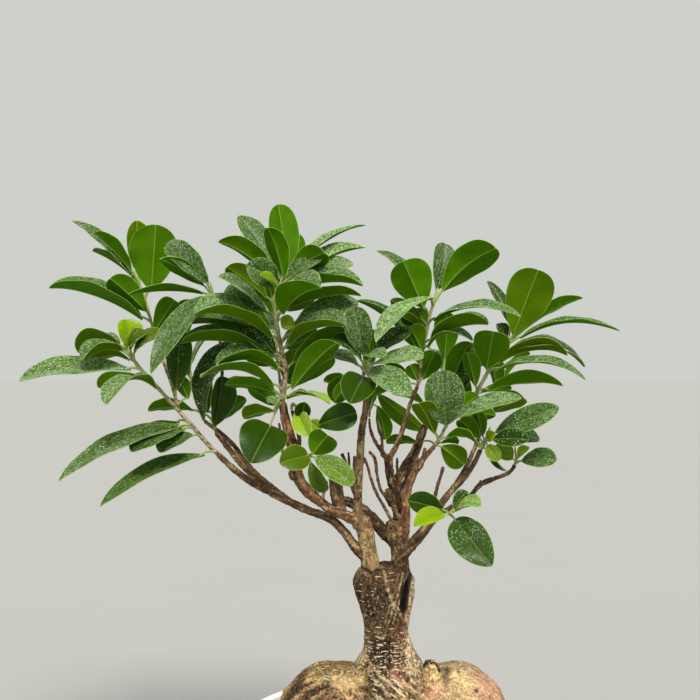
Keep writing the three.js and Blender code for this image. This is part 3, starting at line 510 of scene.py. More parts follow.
# The trunk, from its cut top down to where the roots swell: rings of [up, left, right, half depth,
# rise from the left edge to the right one]
TRUNK_RINGS = [
    [182, -19.5, 10, 13, 1], [173, -21.5, 14, 15, 2], [165, -20, 14.5, 15, 0], [156, -17.6, 12, 13, 0],
    [148, -16, 10.5, 12, 0], [140, -16, 11, 12, 0], [132, -16.6, 13.5, 13, 0], [126, -19.4, 17, 16, 0],
    [112, -30, 24, 24, 0], [92, -26, 26, 30, 0],
]
# Swollen roots: [across, behind, up, then half the size across, behind and up]
ROOTS = [
    [-33, -2, 92, 34, 38, 31.5], [40, 2, 88.5, 31, 40, 32], [2, -20, 84, 24, 27, 34],
    [0, 26, 87, 26, 27, 33], [4, 0, 68, 44, 36, 27],
]
ROOT_STUB = [[23, 98, -4, 8], [24.5, 112, -10, 6.6], [24.8, 123, -12, 4.4]]
# The long open scar down the trunk's front: [across, up, half its width, half its height]
SCAR = [8.5, 167, 2.6, 9.5]
WOOD_GRAIN_SIZE = 0.52
WOOD_TRIANGLES = 190000
ROUTE_STEP = 0.8
LIMB_SIDES = 16
TWIG_SIDES = 10
ROOT_STUB_SIDES = 18
COARSE_LEVELS = 10
RING_WIDTH = 0.9
TRUNK_ROWS = 120
TRUNK_ROUND_STEPS = 84
TRUNK_EASED_ROWS = 9
# Heights: the trunk's cut top, where the limbs leave it, where it starts to flare, and the roots' end
CUT_TOP = 180
LIMBS_START = 173
FLARE_TOP = 136
ROOTS_END = 127
ROOT_ROWS = 64
ROOT_ROUND_STEPS = 96
PORE_REACH = 15
# Three sorts of pores: [stretch, how many to the metre, sharp and soft edge, how common]
PORE_SETS = [
    (0.15, 760.0, 0.19, 0.29, 0.60), (0.38, 470.0, 0.10, 0.17, 0.75), (0.8, 560.0, 0.12, 0.20, 0.5),
]


def seen(across, up, behind):
    """A place that lines up with (across, up) on the trunk's own plane, so far behind it."""
    place = np.array((across + PLANT_SHIFT, 0, up), float) - EYE
    return place * (EYE_DISTANCE + behind) / EYE_DISTANCE + EYE


def smooth_route(points, step=ROUTE_STEP):
    """Places, headings and radii along a smooth curve through a route's points, a step apart."""
    spots = [seen(across, up, behind) for across, up, behind, _ in points]
    spots = [2 * spots[0] - spots[1], *spots, 2 * spots[-1] - spots[-2]]
    places, headings, radii = [], [], []
    for k in range(1, len(spots) - 2):
        before, start, end, after = spots[k - 1:k + 3]
        d0, d1, d2 = [max(np.linalg.norm(b - a), 1e-4) ** 0.5
                      for a, b in ((before, start), (start, end), (end, after))]
        leave = d1 * ((start - before) / d0 - (end - before) / (d0 + d1) + (end - start) / d1)
        arrive = d1 * ((end - start) / d1 - (after - start) / (d1 + d2) + (after - end) / d2)
        count = max(2, round(np.linalg.norm(end - start) / step))
        last = count + 1 if k == len(spots) - 3 else count
        for j in range(last):
            t = j / count
            places.append(curve_point(start, end, leave, arrive, t))
            headings.append(3 * (2 * start - 2 * end + leave + arrive) * t**2
                            + 2 * (3 * end - 3 * start - 2 * leave - arrive) * t + leave)
            radii.append(points[k - 1][3] + (points[k][3] - points[k - 1][3]) * t)
    headings = [h / np.linalg.norm(h) for h in headings]
    return np.array(places), np.array(headings), np.array(radii)


def tube(places, headings, radii, sides, tip=0.5):
    """Corners and faces of a round stem along a route, closed by a low dome at each end."""
    side = np.cross(headings[0], (0.1, 0.9, 0.2))
    turns = full_turn(sides)
    corners = []
    for place, heading, radius in zip(places, headings, radii):
        side = side - heading * np.dot(side, heading)
        side /= np.linalg.norm(side)
        up = np.cross(heading, side)
        corners += [place + radius * (math.cos(a) * side + math.sin(a) * up) for a in turns]
    corners += [places[0] - headings[0] * radii[0] * 0.5, places[-1] + headings[-1] * radii[-1] * tip]
    return corners, ring_faces(len(places), sides)


def risen(values, low, high):
    """How far each value has gone from low to high, as a share from 0 to 1."""
    return np.clip((values - low) / (high - low), 0, 1)


def bell(distance, width):
    """1 where the distance is 0, and almost nothing two widths away."""
    return np.exp(-((distance / width) ** 2))


def ringed(radii, places, draw, apart=(5, 9), swell=0.13):
    """Radii with the low rings that fallen leaves leave on a twig."""
    travel = np.concatenate(([0], np.cumsum(np.linalg.norm(np.diff(places, axis=0), axis=1))))
    radii = radii * (1 + 0.05 * grain(places, 0.35))
    spot = draw.uniform(*apart)
    while spot < travel[-1]:
        radii = radii + 0.5 * (swell + radii * swell) * bell(travel - spot, RING_WIDTH)
        spot += draw.uniform(*apart)
    return radii


def trunk_bark(turn, up):
    """How far the bark stands proud of the trunk's plain shape, round and up the trunk."""
    flare = risen(up, FLARE_TOP, FLARE_TOP - 30)
    flutes = 1.5 * flare * math.sin(5 * turn + 0.7) + 0.9 * flare * math.sin(9 * turn + 2.0 - 0.08 * up)
    cushion = 0.5 * math.sin(3 * turn + up * 0.06) + 0.35 * math.sin(2 * turn - up * 0.11 + 1.0)
    rim = 0.9 * math.exp(-(((up - CUT_TOP) / 2.6) ** 2))
    bevel = 3.2 * risen(up, CUT_TOP - 5, CUT_TOP + 2) ** 2 * max(-math.cos(turn), 0)
    return flutes + cushion + rim - bevel


def trunk_shape():
    """The trunk: its rings eased into each other, with a dip in the front of its cut top."""
    rings = np.array(TRUNK_RINGS, float)
    heights = np.linspace(0, len(rings) - 1, TRUNK_ROWS)
    kernel = np.ones(TRUNK_EASED_ROWS) / TRUNK_EASED_ROWS
    eased = [np.interp(heights, np.arange(len(rings)), values) for values in rings.T]
    eased = [np.convolve(np.pad(e, len(kernel) // 2, mode="edge"), kernel, mode="valid") for e in eased]
    corners = []
    for up, left, right, depth, rise in zip(*eased):
        for turn in full_turn(TRUNK_ROUND_STEPS):
            proud = trunk_bark(turn, up)
            out = ((right - left) / 2 + proud) * math.cos(turn)
            near_top = risen(up, CUT_TOP - 8, CUT_TOP)
            dip = 2.4 * math.exp(-((out + 7) / 6) ** 2) * max(-math.sin(turn), 0) * near_top
            level = up + rise * math.cos(turn) - dip
            across = PLANT_SHIFT + (left + right) / 2 + out
            corners.append((across, (depth + proud) * math.sin(turn), level))
    corners += [(PLANT_SHIFT - 4, 0, TRUNK_RINGS[0][0] - 2.5), (PLANT_SHIFT, 0, TRUNK_RINGS[-1][0])]
    return corners, ring_faces(TRUNK_ROWS, TRUNK_ROUND_STEPS, downward=True)


def root_shape(root):
    """A swollen root: a ball drawn out to its three half sizes, a little uneven."""
    across, behind, up, half_across, half_behind, half_up = root
    shift = Vector((across, behind, 0)) * 0.1
    across += PLANT_SHIFT
    corners = []
    for row in range(1, ROOT_ROWS):
        lean = math.pi * row / ROOT_ROWS
        for turn in full_turn(ROOT_ROUND_STEPS):
            level = math.sin(lean)
            way = Vector((level * math.cos(turn), level * math.sin(turn), math.cos(lean)))
            bulge = 1 + 0.05 * noise.noise(way * 1.6 + shift)
            corners.append((across + half_across * bulge * way.x, behind + half_behind * bulge * way.y,
                            up + half_up * bulge * way.z))
    corners += [(across, behind, up + half_up), (across, behind, up - half_up)]
    return corners, ring_faces(ROOT_ROWS - 1, ROOT_ROUND_STEPS, downward=True)


# Bark colours: what the young wood, the old trunk and the swollen roots look like
BARK_COLOURS = {
    "dark": (0.040, 0.022, 0.012), "brown": (0.120, 0.066, 0.032), "rust": (0.20, 0.085, 0.042),
    "tan": (0.42, 0.28, 0.13), "fawn": (0.25, 0.17, 0.08), "beige": (0.54, 0.40, 0.23),
    "cream": (0.60, 0.42, 0.195), "pink": (0.52, 0.28, 0.165), "olive": (0.24, 0.17, 0.055),
    "moss": (0.17, 0.17, 0.035), "black": (0.010, 0.006, 0.004),
}
# Limbs that aren't brown
LIMB_COLOURS = {
    "left_leader": "tan", "red_limb": "rust", "straight_leader": "fawn", "cross_limb": "dark",
    "dark_leader": "dark", "heavy_limb": "dark", "peeled_limb": "rust", "back_middle": "tan",
}
# Patches of other colours on the trunk and roots as the front shows them, with a few of painted light
# and shade on the trunk's sides: [across, up, half the size across and up, colour, strength]
PATCHES = [
    [-48, 100, 14, 16, "brown", 0.45], [-34, 99, 16, 5, "rust", 0.6], [-22, 101, 9, 6, "pink", 0.55],
    [-27, 121, 18, 3.2, "olive", 0.5], [-24, 123.5, 16, 2, "dark", 0.7],
    [-27, 111.5, 13, 7.5, "tan", 0.85], [-27, 111.5, 10.5, 6, "cream", 0.35],
    [-39, 106, 5, 2, "rust", 0.5], [-18, 113, 4, 5, "tan", 0.7], [-10, 108, 6, 14, "dark", 0.75],
    [-6, 117, 6, 6, "dark", 0.6], [5, 116, 6, 6, "rust", 1.0], [6, 111, 8, 6, "pink", 0.5],
    [15, 116, 8, 11, "beige", 0.6], [22, 113, 5, 5, "pink", 0.8], [27, 105, 9, 6, "pink", 0.75],
    [37, 101, 10, 5, "tan", 0.7], [43, 115, 8, 6.5, "cream", 0.85], [50, 108, 9, 8, "cream", 0.7],
    [60, 108, 9, 15, "pink", 0.9], [33, 116, 3.4, 7, "dark", 0.75], [26, 115, 6.5, 8, "cream", 1.0],
    # The beige at (13, 132) below: the paler bark of the trunk's right side, made paler still as painted
    # light from the right
    [-18, 138, 4, 22, "olive", 0.5], [-18, 127, 5, 8, "beige", 0.6], [13, 132, 5, 20, "beige", 1.0],
    # The tan at (12, 148): paler bark on the trunk's right side, made paler still as painted light from
    # the right
    [12, 148, 3.5, 8, "tan", 0.9], [5, 141, 6, 10, "rust", 0.45], [-5, 130, 8, 11, "dark", 1.0],
    [-7, 160, 10, 16, "dark", 0.75], [-2, 107, 8, 10, "dark", 0.7], [5, 168, 5, 12, "rust", 0.3],
    # The beige at (14, 165): the trunk's pale right edge, partly its bark and partly painted light; the
    # dark at (-19, 165): painted shade down the trunk's left edge
    [14, 165, 2.6, 13, "beige", 0.9], [-19, 165, 3, 14, "dark", 0.6], [-3, 184, 9, 4.5, "tan", 1.0],
]
# The pale line of healed bark down the trunk's front, and the dark edge of its cut top
HEALED_LINE = [(-4.2, 178.8), (-2.6, 174.3), (-1.5, 168.3), (0, 162.3), (1.8, 157.2), (4.5, 153.3)]
CUT_EDGE = [(-16.5, 180.5), (-11, 177.5), (-3.5, 180), (1, 182.5)]
# The thin black rim of the cut stub on the roots
STUB_EDGE = [(20.4, 121.2), (22.2, 123.6), (24.2, 124.6), (26.6, 123.2), (28.4, 121), (29.6, 118.2)]
# Small pits in the roots, painted black as shade in their hollows: [across, up, half size]
PITS = [[52, 107, 1.3], [10.6, 113.2, 1.6], [15.5, 108.4, 1.2], [-24, 107, 1.0], [41, 118, 0.8]]


def as_seen(places):
    """How far across and up the front shows each place, as the lists above give them."""
    nearer = (EYE_DISTANCE / (EYE_DISTANCE + places[:, 1]))[:, None]
    shown = (places - EYE) * nearer + EYE
    return shown[:, 0] - PLANT_SHIFT, shown[:, 2]


def near_line(at, line, width):
    """How near each place, as the front shows it, lies to a line of points on the front: 1 to 0."""
    nearest = np.full(len(at.seen_up), 1e9)
    for (x0, z0), (x1, z1) in zip(line, line[1:]):
        x, z = at.seen_across - x0, at.seen_up - z0
        share = np.clip((x * (x1 - x0) + z * (z1 - z0)) / ((x1 - x0) ** 2 + (z1 - z0) ** 2), 0, 1)
        nearest = np.minimum(nearest, np.hypot(x - share * (x1 - x0), z - share * (z1 - z0)))
    return at.front * bell(nearest, width)


def grain(places, scale, stretch=(1, 1, 1), shift=0.0):
    """Smooth bumps between -1 and 1 over places in millimetres."""
    spots = places * np.array(stretch) * scale + shift
    return np.array([noise.noise(Vector(spot)) for spot in spots.tolist()])


def joined_wood():
    """Corners and faces of every root, trunk and limb, and each limb's colour, places and radii."""
    draw = np.random.default_rng(11)
    parts = [root_shape(root) for root in ROOTS] + [trunk_shape()]
    limbs = []
    for name, route in {**LEADERS, **BRANCHES}.items():
        places, headings, radii = smooth_route(route)
        if name not in LEADERS:
            radii = ringed(radii, places, draw)
        parts.append(tube(places, headings, radii, LIMB_SIDES))
        limbs.append((LIMB_COLOURS.get(name, "brown"), places, radii))
    for route in STUBS + KNOBS:
        places, headings, radii = smooth_route(route)
        parts.append(tube(places, headings, ringed(radii, places, draw, (4, 7)), TWIG_SIDES))
        limbs.append(("brown", places, radii))
    parts.append(tube(*smooth_route(ROOT_STUB), ROOT_STUB_SIDES, 0.3))
    corners, faces = [], []
    for part_corners, part_faces in parts:
        first = len(corners)
        corners += [tuple(c) for c in part_corners]
        faces += [tuple(first + k for k in face) for face in part_faces]
    return corners, faces, limbs


def places_and_normals(piece):
    """Each corner's place in millimetres, and the way the skin faces there."""
    mesh = piece.data
    places = np.empty(len(mesh.vertices) * 3, np.float32)
    mesh.vertices.foreach_get("co", places)
    normals = np.empty(len(mesh.vertices) * 3, np.float32)
    mesh.vertex_normals.foreach_get("vector", normals)
    return places.reshape(-1, 3).astype(float) / MM, normals.reshape(-1, 3).astype(float)


def nearest_limb(places, limbs):
    """For each place: the nearest limb's colour, how near its skin lies, and long streaks on it, raised
    towards its upper side as painted light.
    """
    spots = [(name, place, radius) for name, route, radii in limbs
             for place, radius in zip(route, radii)]
    tree = kdtree.KDTree(len(spots))
    for k, (_, place, _) in enumerate(spots):
        tree.insert(Vector(place), k)
    tree.balance()
    colours = np.zeros((len(places), 3))
    share = np.zeros(len(places))
    streaks = np.zeros(len(places))
    for k, place in enumerate(places.tolist()):
        middle, found, away = tree.find(Vector(place))
        out = Vector(place) - middle
        # The streaks rise towards each limb's upper side, which paints its top paler: painted light
        streaks[k] = noise.noise(out * 0.5 + Vector((0, 0, found * 0.09))) + 0.05 * out.z
        name, _, radius = spots[found]
        colours[k] = BARK_COLOURS[name]
        share[k] = min(max((radius * 1.9 - away) / radius, 0), 1)
    return colours, share, streaks


def over(colours, share, colour):
    """A colour laid over others by a share at each place."""
    return colours + (np.array(BARK_COLOURS[colour]) - colours) * np.clip(share, 0, 1)[:, None]


def lobe_wrinkles(places, lobe, shift):
    """Fine creases that follow a swollen root's outline."""
    across, _, up, half_across, _, half_up = lobe
    x, z = places[:, 0] - across - PLANT_SHIFT, places[:, 2] - up
    out = np.hypot(x / half_across, z / half_up) * 0.5 * (half_across + half_up)
    rolled = np.column_stack((out, np.arctan2(z, x) * 4.5, places[:, 1] * 0.16))
    return grain(rolled, 0.62, shift=shift)


def wood_zones(places, limbs):
    """Which part of the wood each place is on, as shares from 0 to 1, and the bark's bumps there."""
    at = SimpleNamespace()
    at.limb_colours, at.on_limb, at.streak = nearest_limb(places, limbs)
    at.across, at.up = places[:, 0] - PLANT_SHIFT, places[:, 2]
    at.seen_across, at.seen_up = as_seen(places)
    at.on_limb *= risen(at.up, LIMBS_START, LIMBS_START + 6)
    at.front = np.clip(0.5 - places[:, 1] / 6, 0, 1)
    at.on_root = risen(at.up, ROOTS_END, ROOTS_END - 9) * (1 - at.on_limb)
    at.on_trunk = (1 - at.on_root) * (1 - at.on_limb)

    # Roots: low lumps, creases round each swelling, strands down the middle root, and pits
    at.left = risen(at.across, -8, -16)
    at.right = risen(at.across, 16, 24)
    at.middle = 1 - at.left - at.right
    at.lumps = 0.9 * grain(places, 0.085, shift=4.0) + 0.5 * grain(places, 0.21, shift=9.0)
    at.left_creases = lobe_wrinkles(places, ROOTS[0], 2.0)
    at.right_creases = lobe_wrinkles(places, ROOTS[1], 7.0)
    strand_way = np.column_stack((at.up + 0.8 * at.across, 0.16 * at.across, 0.2 * places[:, 1]))
    at.strands = grain(strand_way, 0.6, shift=12.0) * at.front
    at.scabs = grain(places, 0.5, shift=21.0)
    from_cheek = np.hypot((at.seen_across + 27) / 12, (at.seen_up - 111.5) / 6.5)
    at.smooth = at.on_root * at.front * np.clip(2.2 - 2.2 * from_cheek, 0, 1)
    at.pitted = np.zeros(len(places))
    for x, z, half in PITS:
        far = np.hypot(at.seen_across - x, at.seen_up - z)
        at.pitted = np.maximum(at.pitted, at.front * np.clip(1.4 - far / half, 0, 1))
    at.stub_edge = near_line(at, STUB_EDGE, 1.05)

    # Trunk: upright ridges and crust, the long open scar with its rolled edges, and healed lines
    at.ridges = grain(places, 0.42, (1, 1, 0.25), 31.0)
    at.crust = grain(places, 0.95, (1, 1, 0.7), 41.0)
    at.knots = grain(places, 0.17, shift=51.0)
    scar_x, scar_z, scar_half, scar_rise = SCAR
    up_scar = at.up - scar_z
    at.bowed = at.across - scar_x - 0.2 * up_scar - 1.4 * (up_scar / scar_rise) ** 2 + 0.8
    from_scar = np.hypot(at.bowed / scar_half, up_scar / (scar_rise + 1.5))
    from_slit = np.hypot((at.bowed - 0.3) / (0.85 * scar_half), up_scar / (scar_rise + 1.5))
    at.slit = at.front * np.clip((1.1 - from_slit) * 3, 0, 1)
    at.scar = at.front * np.clip((1.25 - from_slit) * 4, 0, 1)
    at.roll = at.front * bell(from_scar - 1.5, 0.3)
    slant = 0.25 * (at.up - 165)
    beside_scar = at.front * bell(at.across - 3.5 - slant, 3.4)
    folded = beside_scar * (at.up > 150) * (at.up < 180)
    at.folds = folded * np.sin(2.6 * (at.across - 0.28 * (at.up - 165)))
    at.healed = near_line(at, HEALED_LINE, 0.9)
    at.cut_edge = near_line(at, CUT_EDGE, 1.1)
    return at


def wood_relief(at):
    """How far the bark stands out at each place, in millimetres."""
    roots = (at.lumps + 0.5 * at.left * at.left_creases + 0.22 * at.right * at.right_creases
             + 0.75 * at.middle * at.strands + 0.3 * (0.4 + at.left) * at.scabs)
    trunk = (0.5 * at.ridges + 0.38 * at.crust + 0.5 * at.knots + 1.2 * at.roll - 3.6 * at.slit
             + 0.55 * at.folds + 0.6 * at.healed - 1.0 * at.cut_edge)
    limbs = 0.22 * at.ridges + 0.16 * at.crust
    return at.on_root * roots - 1.5 * at.pitted + at.on_trunk * trunk + at.on_limb * limbs


def wood_colours(at, places):
    """The bark's colour at each place: root, trunk and limb, then patches, scars and edges, with painted
    light and shade on the trunk's sides, the limbs and the scar, and painted shade in the pits.
    """
    blotch = grain(places, 0.15, shift=61.0)
    small_blotch = grain(places, 0.5, shift=71.0)
    limb_blotch_and_top_light = at.streak + 0.35 * grain(places, 0.5, shift=81.0)
    base = np.tile(np.array(BARK_COLOURS["brown"]), (len(at.up), 1))
    base = over(base, at.on_root, "olive")
    base = over(base, at.on_root * at.left * 0.45, "brown")
    base = over(base, at.on_root * risen(at.across, 12, 26) * 0.8, "beige")
    base = over(base, at.on_root * np.minimum(risen(at.across, 40, 70), 0.7), "pink")
    base = over(base, at.on_root * np.clip(blotch * 1.5, 0, 0.5), "tan")
    base = over(base, at.on_root * np.clip(-blotch * 1.3, 0, 0.4), "rust")
    for x, z, half_x, half_z, colour, strength in PATCHES:
        far = np.hypot((at.seen_across - x) / half_x, (at.seen_up - z) / half_z)
        far = far + 0.4 * blotch + 0.25 * small_blotch
        base = over(base, strength * at.front * np.clip(2.2 - 2.0 * far, 0, 1), colour)
    limb_share = at.on_limb * risen(at.up, LIMBS_START + 4, LIMBS_START + 10)
    base = base + (at.limb_colours - base) * limb_share[:, None]
    # Limbs: tan and dark blotches along the bark, with more tan on the upper side and more dark below as
    # painted light and shade
    base = over(base, at.on_limb * np.clip(1.9 * limb_blotch_and_top_light - 0.1, 0, 0.75), "tan")
    base = over(base, at.on_limb * np.clip(-1.7 * limb_blotch_and_top_light - 0.15, 0, 0.6), "dark")
    light = 1 + 0.7 * at.ridges * at.on_trunk + 0.5 * at.crust + 0.55 * at.on_limb * at.knots
    light += at.on_root * (1.5 * at.left * (1 - at.smooth) * at.left_creases
                           + 0.4 * at.right * at.right_creases + 1.1 * at.middle * at.strands
                           + 0.45 * at.scabs * (0.5 + at.left))
    base = base * np.clip(light, 0.25, 2.2)[:, None]
    base = over(base, at.on_root * at.middle * np.clip(2.4 * at.strands - 0.35, 0, 0.85), "beige")
    # The scar's cleft is painted black: painted shade in its hollow
    base = over(base, at.on_trunk * at.scar, "black")
    # The scar's rolled rim is beige callus, and its right side is made paler still: painted light
    rolled = np.clip(at.roll * (0.5 + 1.3 * (at.bowed > 0)) - 0.3 + 0.7 * at.crust, 0, 1)
    base = over(base, at.on_trunk * 0.8 * rolled * (1 - at.scar), "beige")
    folded = np.clip(at.folds * 1.2 + 0.5 * at.crust, 0, 1) * (at.folds > 0.1)
    base = over(base, at.on_trunk * 0.7 * folded, "beige")
    base = over(base, at.on_trunk * at.healed * (0.7 + at.crust) * (1 - at.scar), "beige")
    base = over(base, (1 - at.on_root) * at.cut_edge, "black")
    base = over(base, at.stub_edge, "black")
    # The pits are painted black: painted shade in their hollows
    return over(base, at.on_root * np.clip(at.pitted * 2, 0, 0.9), "black")


def paint_wood(mesh, at, places):
    """Gives the mesh its colour at each place, and how many pores and how much crust it has there."""
    colours = wood_colours(at, places)
    rgba = np.column_stack((colours, np.ones(len(colours)))).astype(np.float32)
    layer = mesh.color_attributes.new("bark_colour", "FLOAT_COLOR", "POINT")
    layer.data.foreach_set("color", rgba.ravel())
    pores = np.clip(at.on_trunk + 0.6 * at.on_root * at.middle, 0, 1) * np.clip(1 - 3 * at.scar, 0, 1)
    pores = pores * (1 - 0.6 * at.roll) * (0.24 + 0.76 * risen(at.up, 148, 134))
    crusty = at.on_trunk + 0.55 * at.on_limb + at.on_root * (0.6 + 0.4 * at.left + 0.4 * at.middle)
    crusty = np.clip(crusty, 0, 1) * (1 - at.scar) * (1 - 0.8 * at.smooth)
    for name, values in (("pores", pores), ("crusty", crusty)):
        layer = mesh.attributes.new(name, "FLOAT", "POINT")
        layer.data.foreach_set("value", values.astype(np.float32))
    mesh.materials.append(bark())


def thin_out(wood, at):
    """Leaves the mesh fine on the trunk, and coarse only where the soil hides it."""
    triangles = sum(len(p.vertices) - 2 for p in wood.data.polygons)
    coarse = 0.12 + 0.25 * at.on_limb + 0.45 * risen(at.up, 126, 116) + 0.4 * (at.up < SOIL_DEPTH - 4)
    group = wood.vertex_groups.new(name="coarse")
    for level in range(COARSE_LEVELS + 1):
        chosen = np.nonzero(np.round(np.clip(coarse, 0, 1) * COARSE_LEVELS) == level)[0]
        group.add(chosen.tolist(), level / COARSE_LEVELS, "REPLACE")
    settled(wood, "DECIMATE", ratio=WOOD_TRIANGLES / triangles, vertex_group="coarse",
            vertex_group_factor=6.0)


def make_wood():
    corners, faces, limbs = joined_wood()
    wood = make_piece("wood", corners, faces, [])
    settled(wood, "REMESH", mode="VOXEL", voxel_size=WOOD_GRAIN_SIZE * MM)
    settled(wood, "SMOOTH", factor=0.5, iterations=3)
    places, normals = places_and_normals(wood)
    at = wood_zones(places, limbs)
    places = places + normals * wood_relief(at)[:, None]
    wood.data.vertices.foreach_set("co", (places * MM).astype(np.float32).ravel())
    wood.data.update()
    paint_wood(wood.data, at, places)
    thin_out(wood, at)
    wood.data.shade_smooth()
    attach(wood, "root")
    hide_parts("trunk_and_branches")


def attribute(tree, name, output="Fac"):
    return Value(add_node(tree, "Attribute", attribute_name=name), output)


def bark():
    material, tree = new_material("bark", Roughness=0.85, Specular_IOR_Level=0.2)
    painted = attribute(tree, "bark_colour", "Color")
    pores, crusty = attribute(tree, "pores"), attribute(tree, "crusty")
    crust = spotted(tree, 640, 6, 0.75, (1, 1, 0.75))
    fine = spotted(tree, 1700, 4, 0.7)
    shade = crust.eased(0.40, 0.60, 0.22, 1.75) + fine.eased(0.35, 0.65, -0.2, 0.2)
    colour = mixed(tree, 1.0, painted, (shade - 1.0) * crusty + 1.0, "MULTIPLY")
    flakes = spotted(tree, 560, 4, 0.7, (1, 1, 0.6)).eased(0.58, 0.66)
    colour = mixed(tree, flakes * crusty * 0.65, colour, (0.56, 0.41, 0.22))

    # Pale pores: short level dashes and dots, laid out round the trunk
    across, behind, up = object_axes(tree)
    turn = worked(tree, "ARCTAN2", across - PLANT_SHIFT * MM, behind * -1.0)
    round_trunk = turn * (PORE_REACH * MM)
    slant = up.eased(0.128, 0.112, 0.0, 0.45)
    level = up + across * slant + spotted(tree, 260, 2) * 0.0012
    for stretch, apart, near, far, common in PORE_SETS:
        spot = add_node(tree, "CombineXYZ", {"X": round_trunk * stretch, "Y": level})
        links = {"Vector": Value(spot, "Vector"), "Scale": apart}
        cells = add_node(tree, "TexVoronoi", links, voronoi_dimensions="2D")
        chance = Value(add_node(tree, "SeparateColor", {"Color": Value(cells, "Color")}), "Red")
        dots = Value(cells, "Distance").eased(far, near) * (pores * common - chance).eased(0.0, 0.05)
        colour = mixed(tree, dots * 0.9, colour, (0.78, 0.63, 0.42))
        crust = crust + dots * 0.3
    return dressed(material, colour, crust * crusty + fine * 0.25, 0.0014)


make_wood()

# The shoots
# Green stems with leathery, glossy leaves. Each leaf has a pale midrib in a fold, a thin pale edge
# and a short stalk, and most are beaded with water that was sprayed on them.
STALK_LENGTH = 5
STALK_SIDES = 7
STEM_SIDES = 10
BUD_SIDES = 8
BUD_LENGTH = 6.5
SHOOT_SHARP_ANGLE = 60
# The blade: places along it and from midrib to margin, its thickness, its edge's, the groove over
# the midrib (depth, width) and the keel below it (depth, width)
BLADE_STATIONS = 20
BLADE_HALF = [0.05, 0.16, 0.38, 0.62, 0.86, 1.0]
BLADE_THICKNESS = 0.34
EDGE_THICKNESS = 0.06
RIB_GROOVE = (0.22, 0.55)
RIB_KEEL = (0.55, 0.6)
# On a wet leaf there is a drop to each square this wide
BEAD_SPACING = 1.65
BEAD_SIZES = (0.20, 0.56)
BEAD_SIDES = 5
# The rings of a drop: [how far out, how high], as shares of its size, and its top
BEAD_RINGS = [(1.0, -0.15), (0.80, 0.42)]
BEAD_TOP = 0.62
# Where the crowding noise is lower than this, the leaf's skin is bare
BEAD_CROWD = -0.12
# What the leaves' finishes know at each corner of a shoot: how far it lies from the midrib, from the
# margin and from the foot, how old and how young its leaf is, how wet, and how much painted sheen lies on
# it
LEAF_FACTS = ("aside", "margin", "along", "tint", "young", "wet", "film")
# A leaf's two sides: [roughness, shine, dark and light green, old leaf, vein, how pale the midrib]
LEAF_SIDES = {
    "leaf_top": [
        0.30, 0.12, (0.007, 0.025, 0.0005), (0.024, 0.063, 0.001), (0.032, 0.067, 0.001),
        (0.07, 0.15, 0.03), 0.3,
    ],
    "leaf_underside": [
        0.55, 0.04, (0.041, 0.120, 0.0003), (0.084, 0.200, 0.001), (0.105, 0.150, 0.001),
        (0.14, 0.25, 0.02), 0.6,
    ],
}
